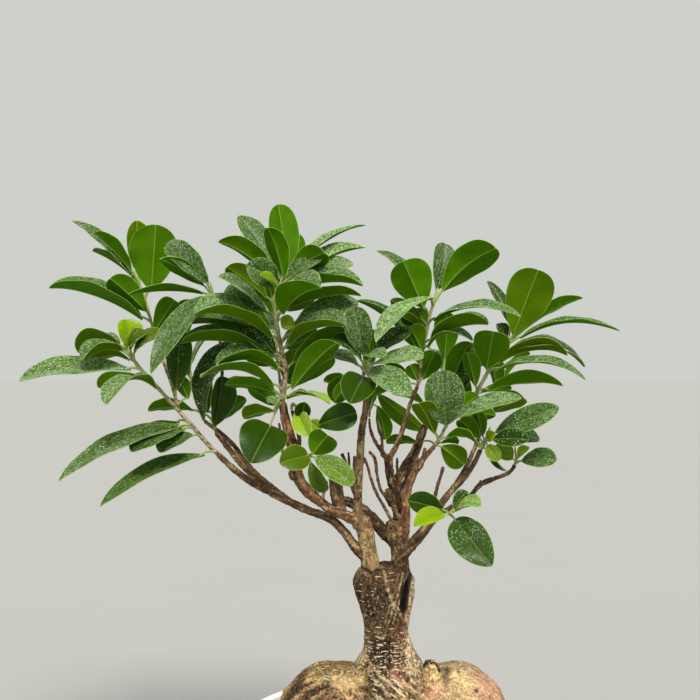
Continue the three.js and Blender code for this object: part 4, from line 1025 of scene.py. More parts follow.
# Shoots as the front shows them: stem routes, then leaves as [foot across, up, behind, tip across,
# up, behind, width, turn of the upper side, arch of the midrib, fold along the midrib]
SPRAYS = {
    "spray_left": {
        "stems": [
            [
                [-103.4, 248.4, -3, 1.6], [-110, 255, -4, 1.5], [-118, 264.5, -5, 1.4],
                [-127, 274.5, -6, 1.4], [-136, 284.5, -7, 1.3], [-145, 294.5, -8, 1.3],
                [-151, 301, -9, 1.3], [-157, 310, -9, 0.9],
            ],
            [
                [-127, 274.5, -6, 1.3], [-130, 287, 0, 1.2], [-136, 304, 6, 1.1], [-142, 323, 10, 1.1],
                [-147, 341, 11, 1], [-152, 355, 10, 0.8],
            ],
        ],
        "leaves": [
            [-106, 249, -5, -174, 217, -30, 20, 62, 5.5], [-118, 266, -6, -200, 232.8, -34, 21, 60, 7.5],
            [-118, 264, -8, -156, 251, -30, 22, 58, 3], [-114, 260, -6, -139, 250.3, -24, 16, 50, 3],
            [-121, 268, 2, -156.5, 257, 6, 16, 100, 3],
            [-150, 299, -10, -223, 294, -26, 24, 62, 2.5, 0.3],
            [-136, 283.5, -10, -171, 279, -48, 20, 86, 12], [-148, 296, -6, -175, 289, 2, 15, 120, 2],
            [-156, 309, -11, -184, 304, -26, 18, 78, 5, 0.7], [-152, 302, -8, -182, 303, -8, 18, 112, 6],
            [-158, 310.5, -8, -186, 308.5, 2, 20, 100, 8, 0.5],
            [-155, 306, -10, -136, 321, -18, 14, -60, 4], [-129, 281, -6, -126, 324, 2, 16, 10, 2],
            [-150, 350, 10, -190, 389, 14, 22, 72, 2], [-152, 354, 8, -177.5, 381, 0, 15, 112, 2, 0.4],
            [-152, 353, 12, -178.5, 370.5, 10, 16, 96, 2],
            [-144, 326, 10, -204.5, 349.5, -4, 22, 80, 5, 0.75],
            [-142, 330, 8, -168, 354, -6, 17, 160, 2], [-150, 349, 14, -152, 388.5, 10, 15, 172, 1],
            [-143.5, 341, 10, -140.5, 386, 8, 29, 180, 2], [-144, 318, 8, -129, 341, 0, 15, 176, 2],
            [-157, 309, -9, -159, 329, -10, 16, 25, 2, 0.5],
            [-157, 309, -9, -146, 321, -16, 12, -60, 2, 0.5],
        ],
    },
    "spray_left_back": {
        "stems": [
            [
                [-105.3, 262.7, 10, 1.4], [-104, 276, 11, 1.3], [-101, 292, 12, 1.3],
                [-101, 308, 12, 1.2], [-103, 322, 11, 1.1], [-105, 336, 9, 1.1], [-107, 347, 7, 0.9],
            ],
        ],
        "leaves": [
            [-110, 263, 6, -92, 318, 16, 18, -46, 14], [-107, 260, 7, -101, 295, 0, 17, 30, 2, 0.5],
            [-108, 268, 10, -112, 302, 16, 14, -150, 3], [-103, 266, 10, -86.5, 282, 16, 12, -140, 2],
            [-108, 346, 6, -138, 365.5, -20, 12, 150, 4], [-106, 346, 8, -135, 373.5, -10, 20, 45, 3],
            [-108, 346, 4, -144, 297, -42, 16.5, 34, 4, 0.35], [-107, 344, 6, -157, 344, -14, 18, 101, 3],
            [-106, 343, 8, -116, 335, 12, 9, 170, 1],
        ],
    },
    "spray_centre_left": {
        "stems": [
            [
                [-64.7, 280.2, -5, 2], [-63.4, 290, -6, 1.8], [-62.4, 298, -7, 1.7], [-64, 306, -7, 1.6],
                [-66, 315, -7, 1.5], [-67.5, 324, -8, 1.4], [-69, 332, -8, 1.4], [-69.5, 341, -8, 1.3],
                [-66, 350, -7, 0.9],
            ],
        ],
        "leaves": [
            [-67, 314, -10, -118, 333, -34, 25, 76, 7, 0.75], [-70, 330, -8, -99, 347.5, -12, 15, 32, 3],
            [-66, 303, -7, -125, 315, -14, 21, 78, 7, 0.7], [-68, 317, -2, -131, 325, -2, 19, 72, 6, 0.6],
            [-66, 306, -4, -104, 324, 0, 16, 140, 4], [-66, 305, -8, -85, 324.5, -14, 14, 20, 2],
            [-63, 296, -9, -104, 301, -26, 20, 80, 7, 0.7], [-65, 285, -9, -114, 295, -32, 22, 104, 9],
            [-65, 284, -6, -99, 290, -12, 14, 122, 3], [-66, 275, -4, -85, 289, -2, 15, 150, 2, 0.4],
            [-66, 274, -3, -88, 270, 2, 15, 122, 2], [-70, 268, -8, -83.5, 243, -34, 29, 8, 3, 0.1],
            [-60, 351, -5, -67, 398, 4, 18, 172, 2], [-63, 348, -8, -73, 385, -18, 15, 150, 3],
            [-66, 350, -5, -90, 392, 6, 20, 44, 2], [-66, 350, -9, -103, 377, -22, 17, 128, 4, 0.5],
            [-66, 350, -12, -86, 362, -34, 17, 18, 4], [-70, 338, -10, -98, 361, -24, 15, 160, 3],
            [-70, 329, -10, -102, 356, -30, 18, 72, 2], [-64, 351, -9, -39, 370, -22, 18, -160, 4],
            [-64, 356, -4, -54, 380, 8, 13, 178, 1], [-64, 355, -4, -15, 387.5, 14, 16, -76, 4],
            [-64, 350, -5, -15, 373, 6, 17, -66, 4, 0.5], [-65, 349, -10, -41, 368, -14, 15, -42, 3],
            [-64, 348, -8, -22, 363, -10, 17, -54, 3], [-66, 341, -9, -16, 350, -24, 18, -78, 6, 0.7],
            [-67, 333, -9, -17, 344.5, -18, 16, -112, 4, 0.4],
            [-66, 328, -13, -41.5, 348.5, -38, 22, -96, 5, 0.85],
            [-65, 316, -6, -19, 339.5, -8, 22, -50, 4, 0.4],
            [-64, 310, -8, -26, 325.5, -28, 22, -80, 6, 0.75], [-63, 299, -6, -24, 323, -14, 18, -138, 3],
            [-62, 283, -10, -32, 316, -28, 18, -145, 3, 0.4], [-62, 285, -7, -34, 307, -16, 15, -150, 3],
            [-63, 282, -8, -36, 279, -24, 13, -85, 4],
        ],
    },
    "spray_centre_bud": {
        "stems": [
            [[-59, 275.6, -7.1, 1.1], [-58.4, 278.4, -10, 1], [-53, 273, -16, 1], [-48, 267, -19, 0.9]],
        ],
        "leaves": [
            [-47, 264, -19, -20, 273, -24, 17, -12, 3], [-54, 267, -14, -51, 279.5, -26, 10, 0, 1],
            [-56, 276, -13, -49, 259.5, -30, 12, 12, 2, 0.45],
        ],
    },
    "spray_centre_front": {
        "stems": [[[-55.4, 242.5, -10.2, 1.2], [-52, 245, -18, 1.1], [-48, 248, -30, 0.9]]],
        "leaves": [
            [-47, 248, -30, -66, 243, -46, 16, 12, 2], [-48, 246, -29, -37, 260, -38, 18, -172, 2],
            [-48, 248, -30, -22, 230, -54, 14.5, -20, 4], [-49, 247, -28, -38, 226, -34, 11, 30, 2, 0.4],
        ],
    },
    "spray_middle": {
        "stems": [[[-16.1, 292.8, -5, 1.4], [-15.6, 298, -6, 1.2], [-15, 305, -7, 0.9]]],
        "leaves": [
            [-15, 303, -9, -22, 337, -20, 17, 8, 3], [-16, 299, -6, -39, 308, 3, 16, 62, 3],
            [-15, 301, -9, -34, 318, -22, 14, 60, 3], [-15, 302, -10, -3, 306, -34, 12, -80, 5],
            [-14, 303, -6, 12, 322, -10, 16, -50, 3], [-14, 301, -9, 20, 307.5, -24, 18, -60, 2],
            [-15, 301, -12, 12.5, 284, -42, 17, -28, 3], [-15, 296, -10, -24, 279, -38, 21, 8, 3],
            [-17, 296, -4, -33, 281, -8, 12, 122, 2], [-18, 297, -3, -34, 279.5, 2, 16, 152, 3],
        ],
    },
    "spray_back_centre": {
        "stems": [[[-12.4, 270.8, 5, 0.8], [-12.3, 274, 5, 0.7], [-11.5, 277, 5, 0.6]]],
        "leaves": [[-12.4, 272, 5, -8.6, 285.5, 8, 13, -122, 1]],
    },
    "spray_right_top": {
        "stems": [
            [
                [16.8, 289.7, 8, 1.1], [18.4, 300, 7, 1.1], [19.4, 311, 5, 1.1], [22, 322, 3, 1.1],
                [24, 332, 2, 1.1], [27.5, 342.5, 1, 0.9],
            ],
        ],
        "leaves": [
            [22, 331, 0, 8, 364, -8, 25, 178, 2], [26, 340, 5, -8, 370.5, 16, 16, 66, 3],
            [28, 341, -1, 63.5, 372, -14, 24, -150, 8], [26, 341, 4, 33, 374.5, 12, 17, 30, 3],
            [30, 343, -2, -9, 316, -26, 18, 62, 6, 0.3], [22, 326, -2, 79, 332, -38, 16, -74, 8],
            [20, 312, -2, 59, 326.5, -18, 20, -92, 5, 0.7], [20, 308, 2, 12, 325, -6, 15, 172, 2],
            [20, 306, 0, 50, 317, -14, 15, -84, 10], [19, 305, 4, -20, 341, 8, 16, 76, 5, 0.6],
            [18, 290, 8, 27, 310, 10, 14, -176, 1], [16, 290, 9, -9, 284, 20, 12, 118, 3],
        ],
    },
    "spray_right_back": {
        "stems": [
            [
                [22.4, 269.6, 8.2, 1.3], [29, 274, 9, 1.3], [40, 278, 8, 1.3], [50, 283, 4, 1.3],
                [55, 291, 0, 1.3], [59, 298, -2, 1.3], [66, 309, -4, 1.2], [73, 318, -5, 0.9],
            ],
        ],
        "leaves": [
            [57, 295, -4, 62, 322, -20, 22, 180, 2], [52, 285, 0, 46.5, 309.5, -6, 11, 160, 1],
            [72, 314, -6, 89, 359, -18, 28, -174, 3], [73, 317, -1, 115.5, 342.5, 4, 15, -116, 3, 0.3],
            [73, 315, -7, 138, 322, -16, 15, -82, 9, 0.3], [60, 299, -4, 107, 309, -12, 17, -108, 7, 0.4],
            [63, 304, -1, 117, 301, 2, 20, -70, 13], [58, 296, -6, 118, 294, -24, 17, -75, 9],
            [53, 284, -2, 104, 290, -18, 16, -120, 5, 0.4], [51, 284, 4, 73, 287.5, 6, 10, -122, 2],
            [74, 320, -2, 58.5, 353, 12, 11, 50, 2], [34, 282, 8, 48, 316, 0, 15, -140, 2, 0.5],
            [40, 278, 8, 54, 317, 12, 13, -30, 2], [50, 282, 6, 39, 291, 10, 13, 150, 1],
        ],
    },
    "spray_right_front": {
        "stems": [
            [[26.9, 253.6, -6.4, 1.3], [30, 258, -8, 1.2], [33.5, 265, -10, 1.1], [38, 271.5, -11, 0.8]],
        ],
        "leaves": [
            [34, 261, -12, 31, 298.5, -18, 24, 4, 3, 0.35], [28.5, 256, -9, 17, 279.5, -28, 15, 160, 3],
            [37, 270, -10, 53, 284, -8, 12, -150, 1], [35, 267, -12, 79, 282, -30, 16, -56, 4],
            [37, 270, -8, 63.5, 272, -6, 10, -150, 2], [29, 256, -8, 54, 252.5, -26, 15, -112, 6],
            [28, 255, -6, 44.5, 242, -10, 15, -168, 1],
        ],
    },
    "spray_right_branch": {
        "stems": [[[54.9, 251.8, -8, 1.3], [57, 255.5, -10, 1.2], [58.5, 260, -12, 0.8]]],
        "leaves": [
            [58, 259, -14, 101.5, 276.5, -20, 15.5, -18, 2], [58.5, 257, -15, 83, 257, -38, 12, -24, 2],
            [56, 256, -9, 52, 275, -14, 9, 150, 1], [56, 255, -10, 41.5, 269.5, -14, 12, 150, 1],
            [57, 255, -14, 65.5, 244.5, -30, 9, 0, 1], [59, 259, -8, 90, 258, 0, 13, -40, 2],
        ],
    },
    "spray_right_tip": {
        "stems": [[[75.2, 242.5, 4, 1.2], [75.8, 245, 3, 1], [75.4, 248.5, 2, 0.7]]],
        "leaves": [
            [75.5, 243.5, 3, 100, 245.5, -10, 13, -25, 2], [75, 243.5, 3, 64.5, 255, -3, 11, 10, 1],
        ],
    },
    "spray_front_low": {
        "stems": [[[34.9, 213, -16.6, 1.1], [36, 213, -19, 1], [36.6, 212.6, -22, 0.8]]],
        "leaves": [
            [35, 214, -18, 10.5, 220.5, -40, 14.5, 14, 2], [36, 212, -20, 61, 181.5, -48, 22.5, -5, 3],
            [37, 213, -20, 54.5, 217.5, -34, 13, -62, 2, 0.5],
            [35, 212.5, -21, 14.5, 205.5, -48, 12, 30, 2, 0.5],
        ],
    },
}
# Smaller leaves and bud leaves on the same stems
SMALL_LEAVES = {
    "spray_left": [[-120, 279, -2, -127, 294.5, 2, 10, 150, 1]],
    "spray_centre_left": [
        [-65, 345, -14, -78, 356, -38, 9, 70, 1, 0.6], [-66, 331, -9, -58, 325, -22, 9, 10, 1],
        [-64, 282, -8, -73, 279, -18, 8, 60, 1], [-64, 281, -8, -50, 284.5, -20, 8, -70, 1, 0.4],
        [-66, 300, 2, -90, 312, 14, 17, 150, 2], [-66, 310, 2, -43, 321, 14, 17, -150, 2],
        [-68, 322, 3, -94, 333, 16, 17, 150, 2], [-66, 290, 3, -46, 301, 14, 17, -150, 2],
        [-65, 332, 3, -44, 346, 14, 15, -150, 2], [-68, 338, 3, -88, 352, 14, 15, 150, 2],
    ],
    "spray_centre_bud": [[-50, 269, -18, -41.5, 263, -22, 8, -20, 1, 0.4]],
    "spray_right_branch": [
        [58, 257, -13, 63, 261, -22, 7, -20, 1, 0.4], [57, 254, -7, 69.5, 237.5, -2, 9, 70, 1],
    ],
    "spray_right_top": [
        [22, 322, 6, 14, 335, 10, 12, 170, 1], [21, 322, 2, 7, 331, 0, 9, 150, 1],
        [23, 326, 6, 0.5, 341, 14, 10, 160, 1], [17, 291, 8, 12, 302, 10, 10, 176, 1],
    ],
    "spray_right_back": [[70, 314, -2, 66, 327, 6, 8, 20, 1]],
    "spray_right_front": [
        [28.5, 255, -5, 41, 255, 0, 10, -110, 1], [21, 254, 8, -2.4, 255.5, 16, 10, 125, 2],
    ],
    "spray_right_tip": [[76, 244.5, 2, 82, 253.5, -5, 6.5, -150, 1]],
    "spray_front_low": [[36.5, 213, -18, 46, 226.5, -16, 9, -20, 1]],
}
# The leaves that are still young and lime green, by their place in a shoot's list, and how young
YOUNG = {
    "spray_left": {11: 0.2, 21: 1, 22: 0.3, 7: 0.35}, "spray_centre_left": {33: 1, 34: 1, 35: 0.6},
    "spray_centre_bud": {2: 1, 3: 0.7}, "spray_centre_front": {0: 0.2, 2: 0.3, 3: 0.25},
    "spray_front_low": {2: 0.6, 3: 1}, "spray_right_branch": {4: 0.5, 6: 1},
    "spray_right_tip": {1: 0.5, 2: 1},
}
# The leaves whose upper side stayed dry, those under an even film of mist that carries a painted sheen,
# and those that are soaked
DRY = {
    "spray_centre_left": [11], "spray_centre_bud": [0, 1], "spray_centre_front": [0, 1, 3],
    "spray_middle": [7], "spray_front_low": [0, 3], "spray_left_back": [1, 2, 3], "spray_left": [0, 2, 3],
}
WET_SHEEN_LEAVES = {"spray_left": [0, 2, 3], "spray_left_back": [6]}
SOAKED = {
    "spray_middle": [0, 5, 6], "spray_right_front": [0, 3], "spray_right_branch": [0],
    "spray_left_back": [5], "spray_right_top": [3, 4],
    "spray_centre_left": [1, 14, 16, 18, 21, 22, 23, 24, 28], "spray_right_tip": [0],
}
# Leaves whose age, and with it how olive they are, isn't left to the draw
AGES = {"spray_left": {19: 0.1}}
# Leaves of another outline: how fast they widen from the foot, and narrow to the tip
OUTLINES = {
    "spray_centre_left": {11: (0.42, 0.62), 12: (0.8, 0.42)},
    "spray_centre_front": {0: (0.6, 0.55), 1: (0.6, 0.5)}, "spray_front_low": {1: (0.62, 0.66)},
    "spray_right_front": {0: (0.75, 0.5)}, "spray_right_top": {0: (0.9, 0.5)},
    "spray_middle": {7: (0.55, 0.5)},
}


def blade_half(along, rising, falling):
    """Half the width of a leaf along its midrib, as a share of the widest half."""
    widest = rising / (rising + falling)
    return along**rising * (1 - along) ** falling / (widest**rising * (1 - widest) ** falling)


def unit(vector):
    return vector / np.linalg.norm(vector, axis=-1, keepdims=True)


class Growth:
    """Corners and faces of one shoot, with what its finishes need to know at each corner."""

    def __init__(self):
        self.corners, self.faces, self.finish = [], [], []
        self.facts = {name: [] for name in LEAF_FACTS}
        self.count = 0

    def add(self, corners, faces, finish, **facts):
        corners = np.asarray(corners, float).reshape(-1, 3)
        self.corners.append(corners)
        self.faces += [tuple(k + self.count for k in face) for face in faces]
        self.finish += finish if isinstance(finish, list) else [finish] * len(faces)
        for name, store in self.facts.items():
            store.append(np.broadcast_to(np.asarray(facts.get(name, 0.0), float), (len(corners),)))
        self.count += len(corners)


def bow(start, control, end, part):
    """Places along a curve from start to end that bends towards control."""
    part = np.asarray(part, float)[..., None]
    return (1 - part) ** 2 * start + 2 * part * (1 - part) * control + part**2 * end


def blade_faces(rows, columns):
    """Faces of a blade's upper side, then those of its underside and round its edge."""
    row, column = np.meshgrid(np.arange(rows - 1), np.arange(columns - 1), indexing="ij")
    corner = (row * columns + column).ravel()
    upper = np.column_stack((corner, corner + 1, corner + columns + 1, corner + columns))
    below = rows * columns
    under = (upper[:, ::-1] + below).tolist()
    for k in range(rows - 1):
        left, right = k * columns, k * columns + columns - 1
        under.append((left, left + columns, below + left + columns, below + left))
        under.append((right, below + right, below + right + columns, right + columns))
    for k in range(columns - 1):
        last = (rows - 1) * columns + k
        under.append((k, below + k, below + k + 1, k + 1))
        under.append((last, last + 1, below + last + 1, below + last))
    return upper.tolist(), under


def grow_leaf(growth, stems, leaf, draw, young, wet, film=0.0, outline=None, age=None):
    """One leaf: its blade with a rib under it, its stalk, and the water on its upper side."""
    foot, tip, upper, width, arch, fold = leaf
    length = np.linalg.norm(tip - foot)
    stalk = min(STALK_LENGTH, 0.14 * length) / length
    pointed = np.clip((length / width - 2.2) / 1.8, 0, 0.9) + draw.uniform(-0.15, 0.15)
    control = 0.5 * (foot + tip) + 2 * arch * upper

    # The midrib: more stations near the foot and the tip, and a tip that droops
    sweep = np.linspace(0, 1, BLADE_STATIONS)
    even = 0.5 - 0.5 * np.cos(math.pi * sweep)
    along = 0.002 + 0.9965 * (0.55 * even + 0.45 * (1 - (1 - sweep) ** 1.7))
    spot = stalk + (1 - stalk) * along
    middle = bow(foot, control, tip, spot)
    part = spot[:, None]
    heading = unit(2 * (1 - part) * (control - foot) + 2 * part * (tip - control))
    normal = unit(upper - heading * (heading @ upper)[:, None])
    across = np.cross(heading, normal)
    droop = 0.035 * length * np.clip((along - 0.72) / 0.28, 0, 1) ** 2 * draw.uniform(-0.2, 1)
    middle = middle - normal * droop[:, None]

    # The blade: folded and curled along the midrib, with waves at its margin and a keel below
    rising, falling = outline or (0.92 - 0.12 * pointed, 0.52 + 0.36 * pointed)
    half = 0.5 * width * blade_half(along, rising, falling)
    columns = np.array([-c for c in reversed(BLADE_HALF)] + [0.0] + BLADE_HALF)
    uneven = draw.uniform(-0.07, 0.07)
    aside = half[:, None] * columns * np.where(columns < 0, 1 - uneven, 1 + uneven)
    size = np.abs(columns)
    waves, phase = draw.uniform(1.6, 3.0), draw.uniform(0, 2 * math.pi, 2)
    left_wave, right_wave = [np.sin(2 * math.pi * waves * along + start)[:, None] for start in phase]
    wave = np.where(columns < 0, left_wave, right_wave)
    curl = draw.uniform(0.32, 0.55)
    rise = fold * half[:, None] * (1.38 * size - curl * size**2)
    rise = rise + 0.022 * width * wave * size**2 * np.sin(math.pi * along)[:, None] ** 0.5
    groove = RIB_GROOVE[0] * bell(aside, RIB_GROOVE[1]) * np.minimum(1, half / 2)[:, None]
    thick = BLADE_THICKNESS * (1 - 0.55 * size**4) + EDGE_THICKNESS
    keel = (RIB_KEEL[0] * (1 - along) ** 0.7 + 0.05)[:, None] * bell(aside, RIB_KEEL[1])
    top = middle[:, None] + across[:, None] * aside[..., None]
    top = top + normal[:, None] * (rise - groove)[..., None]
    under = top - normal[:, None] * (thick + keel - groove * 0.5)[..., None]
    upper_faces, other_faces = blade_faces(*aside.shape)
    margin = half[:, None] * (1 - size)
    drawn_age = draw.uniform(0, 1)
    travel = np.repeat((along * length)[:, None], len(columns), axis=1)
    growth.add(
        np.concatenate((top.reshape(-1, 3), under.reshape(-1, 3))), upper_faces + other_faces,
        [0] * len(upper_faces) + [1] * len(other_faces),
        aside=np.tile(aside.ravel(), 2), margin=np.tile(margin.ravel(), 2),
        along=np.tile(travel.ravel(), 2), tint=drawn_age if age is None else age,
        young=young, wet=wet, film=film)

    start, end = bow(foot, control, tip, stalk), bow(foot, control, tip, stalk + 0.05)
    grow_stalk(growth, stems, start, end - normal[0] * 0.35, min(1.0, width / 15), young)
    if wet > 0:
        bead(growth, draw, wet, top, normal)


def grow_stalk(growth, stems, near, end, thin, young):
    """A leaf's stalk, from a little below the nearest place on its stem to the foot of its blade."""
    best = None
    for places, headings, _ in stems:
        away = np.linalg.norm(places[1:-2] - near, axis=1)
        nearest = int(np.argmin(away)) + 1
        if best is None or away[nearest - 1] < best[0]:
            lower = max(nearest - 3, 0)
            best = (away[nearest - 1], places[lower], headings[lower])
    _, root, growing = best
    bend = 0.5 * (root + end) + growing * 0.28 * np.linalg.norm(end - root)
    places = bow(root, bend, end, np.linspace(0, 1, 6))
    headings = unit(np.gradient(places, axis=0))
    radii = np.linspace(0.85, 0.55, 6) * (0.5 + 0.5 * thin)
    corners, faces = tube(places, headings, radii, STALK_SIDES, 0.6)
    growth.add(corners, faces, 2, young=young, tint=0.35)


def bead(growth, draw, wet, top, normal):
    """Round drops of water, seated on a leaf's upper side and clear of each other."""
    one = top[:-1, 1:] - top[:-1, :-1]
    two = top[1:, :-1] - top[:-1, :-1]
    size = np.linalg.norm(np.cross(one, two), axis=2)
    count = int(wet * size.sum() / BEAD_SPACING**2)
    if count < 1:
        return
    tries = 2 * count
    cell = draw.choice(size.size, tries, p=size.ravel() / size.sum())
    low, left = np.unravel_index(cell, size.shape)
    part, share = draw.uniform(0.05, 0.95, (2, tries, 1))
    spots = ((1 - part) * ((1 - share) * top[low, left] + share * top[low, left + 1])
             + part * ((1 - share) * top[low + 1, left] + share * top[low + 1, left + 1]))
    sizes = BEAD_SIZES[0] + (BEAD_SIZES[1] - BEAD_SIZES[0]) * draw.uniform(0, 1, tries) ** 2.6

    # The drops stand in crowds, with barer skin between them
    shift = Vector(draw.uniform(0, 50, 3))
    crowd = np.array([noise.noise(Vector(spot) * 0.11 + shift) for spot in spots.tolist()])
    crowded = crowd > BEAD_CROWD
    spots, sizes, low, left = spots[crowded], sizes[crowded], low[crowded], left[crowded]
    if len(spots) < 1:
        return
    kept = []
    for k in np.argsort(-sizes):
        away = np.linalg.norm(spots[kept] - spots[k], axis=1) - sizes[kept] if kept else [math.inf]
        if np.min(away) >= 1.15 * sizes[k]:
            kept.append(k)
        if len(kept) == count:
            break
    spots, sizes, low, left = spots[kept], sizes[kept, None], low[kept], left[kept]
    out = unit(np.cross(one[low, left], two[low, left]))
    out *= np.sign(np.einsum("ij,ij->i", out, normal[low]))[:, None]
    side = unit(one[low, left])
    other = np.cross(out, side)
    rings = []
    for reach, height in BEAD_RINGS:
        for turn in full_turn(BEAD_SIDES):
            way = reach * (math.cos(turn) * side + math.sin(turn) * other)
            rings.append(spots + sizes * (way + height * out))
    rings.append(spots + sizes * BEAD_TOP * out)
    last = 2 * BEAD_SIDES
    pattern = [tuple(range(BEAD_SIDES - 1, -1, -1))]
    for k in range(BEAD_SIDES):
        after = (k + 1) % BEAD_SIDES
        pattern.append((k, after, BEAD_SIDES + after, BEAD_SIDES + k))
        pattern.append((BEAD_SIDES + k, BEAD_SIDES + after, last))
    faces = [tuple(corner + first for corner in face)
             for first in range(0, len(kept) * (last + 1), last + 1) for face in pattern]
    growth.add(np.stack(rings, axis=1), faces, 3)


def grow_stem(growth, route, draw):
    """A green stem with a ring at each leaf and a pointed bud at its end."""
    places, headings, radii = smooth_route(route, 1.1)
    radii = ringed(radii * 0.84, places, draw, (4, 8), 0.2)
    corners, faces = tube(places, headings, radii, STEM_SIDES)
    age = np.clip(1.25 - 1.3 * np.linspace(0, 1, len(places)) ** 1.4, 0, 1)
    growth.add(corners, faces, 2, tint=np.concatenate((np.repeat(age, STEM_SIDES), [1, 0])))
    bud = np.linspace(0, 1, 8)
    tip = places[-1] + headings[-1] * (bud[:, None] * BUD_LENGTH - 0.6)
    swelling = radii[-1] * (1.15 * (1 - bud**2.2) ** 0.9 + 0.06)
    corners, faces = tube(tip, np.repeat(headings[-1:], len(bud), axis=0), swelling, BUD_SIDES)
    growth.add(corners, faces, 2, tint=0.0, young=0.6)
    return places, headings, radii


def leaf_skin(name):
    """The smooth dark upper side of the leaves, with a painted pale sheen where wet, or their duller and
    lighter underside.
    """
    gloss, shine, dark, light, old, vein, rib_share = LEAF_SIDES[name]
    on_top = name == "leaf_top"
    material, tree = new_material(
        name, Specular_IOR_Level=shine, Subsurface_Weight=0.55, Subsurface_Scale=0.0012,
        Subsurface_Radius=(0.6, 1.0, 0.1))
    aside, margin, along, tint, young, wet, film = [attribute(tree, fact) for fact in LEAF_FACTS]
    off_rib = abs(aside)
    on_rib = off_rib.eased(0.5, 0.2)
    at_edge = margin.eased(0.34, 0.10)
    slanted = along - off_rib * 0.75 + spotted(tree, 180, 2) * 1.6
    spaced = worked(tree, "FRACT", worked(tree, "DIVIDE", slanted, 3.3))
    on_vein = abs(spaced - 0.5).eased(0.12, 0.0)
    cloud = spotted(tree, 110, 4)
    aged = tint * 0.6 if on_top else tint.eased(0.5, 1.0, 0.0, 0.6)
    colour = mixed(tree, cloud, dark, light)
    colour = mixed(tree, aged, colour, old)
    colour = mixed(tree, on_vein * 0.12, colour, vein)
    colour = mixed(tree, young * 0.92, colour, (0.24, 0.36, 0.003))
    colour = mixed(tree, on_rib * rib_share, colour, (0.24, 0.36, 0.06))
    colour = mixed(tree, at_edge * 0.7, colour, (0.30, 0.46, 0.10))
    height = spotted(tree, 1400, 3) * 0.16 - on_vein * 0.28
    dullness = (cloud - 0.5) * 0.25 + gloss
    if on_top:
        # On wet upper sides the pale patches, blots and specks are a painted sheen of the bright room on
        # the water, strongest on leaves that face up; the specks are also the water's small drops, which
        # make the skin bumpier and glossier
        mist_and_sheen = cell_distance(tree, 1050).eased(0.38, 0.26) * wet
        sheen_patches = spotted(tree, 420, 4).eased(0.38, 0.62, 0.12, 0.42)
        sheen_blots = cell_distance(tree, 520).eased(0.46, 0.30, 0.0, 0.35)
        colour = mixed(tree, film * sheen_patches, colour, (0.25, 0.41, 0.13))
        colour = mixed(tree, mist_and_sheen * (film * 0.40 + 0.07), colour, (0.44, 0.60, 0.26))
        colour = mixed(tree, sheen_blots * film, colour, (0.44, 0.59, 0.28))
        height = height + mist_and_sheen * 0.9
        dullness = dullness - mist_and_sheen * 0.2
    return dressed(material, colour, height, 0.00022, 0.7, dullness)


def green_stem():
    material, tree = new_material("green_stem", Roughness=0.5)
    cloud = spotted(tree, 420, 4)
    green = mixed(tree, cloud, (0.20, 0.27, 0.055), (0.42, 0.48, 0.16))
    brown = mixed(tree, cloud.eased(0.4, 0.6), (0.10, 0.06, 0.03), (0.44, 0.32, 0.18))
    colour = mixed(tree, attribute(tree, "tint").eased(0.35, 0.95), green, brown)
    colour = mixed(tree, attribute(tree, "young") * 0.7, colour, (0.48, 0.60, 0.12))
    return dressed(material, colour, spotted(tree, 1500, 3), 0.00015)


# Drops of water: their pale, half-clear colour is a painted highlight that stands in for the glints of
# light on them
def water_and_glints():
    return new_material(
        "water_and_glints", Base_Color=(0.74, 0.90, 0.58, 1), Roughness=0.04, IOR=1.36, Transmission_Weight=0.64)[0]


def finish_shoot(growth, name, finishes):
    corners = np.concatenate(growth.corners)
    shoot = make_piece(name.replace("spray", "shoot"), corners, growth.faces, finishes)
    shoot.data.polygons.foreach_set("material_index", growth.finish)
    for fact, values in growth.facts.items():
        layer = shoot.data.attributes.new(fact, "FLOAT", "POINT")
        layer.data.foreach_set("value", np.concatenate(values).astype(np.float32))
    shoot.data.set_sharp_from_angle(angle=math.radians(SHOOT_SHARP_ANGLE))
    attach(shoot, "root")
    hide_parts(name)


def leaf_as_seen(row):
    """A leaf's foot, tip, upper side, width, arch and fold from a row of the shoots' lists."""
    foot_x, foot_z, foot_y, tip_x, tip_z, tip_y, seen_width, turn, arch, *fold = row
    foot, tip = seen(foot_x, foot_z, foot_y), seen(tip_x, tip_z, tip_y)
    middle = 0.5 * (foot + tip)
    chord = unit(tip - foot)
    facing = unit(EYE - middle)
    facing = unit(facing - chord * (facing @ chord))
    side = np.cross(chord, facing)
    upper = facing * math.cos(math.radians(turn)) + side * math.sin(math.radians(turn))
    width = seen_width * (EYE_DISTANCE + middle[1]) / EYE_DISTANCE
    return foot, tip, upper, width, arch, 0.08 + (fold[0] if fold else 0.2)


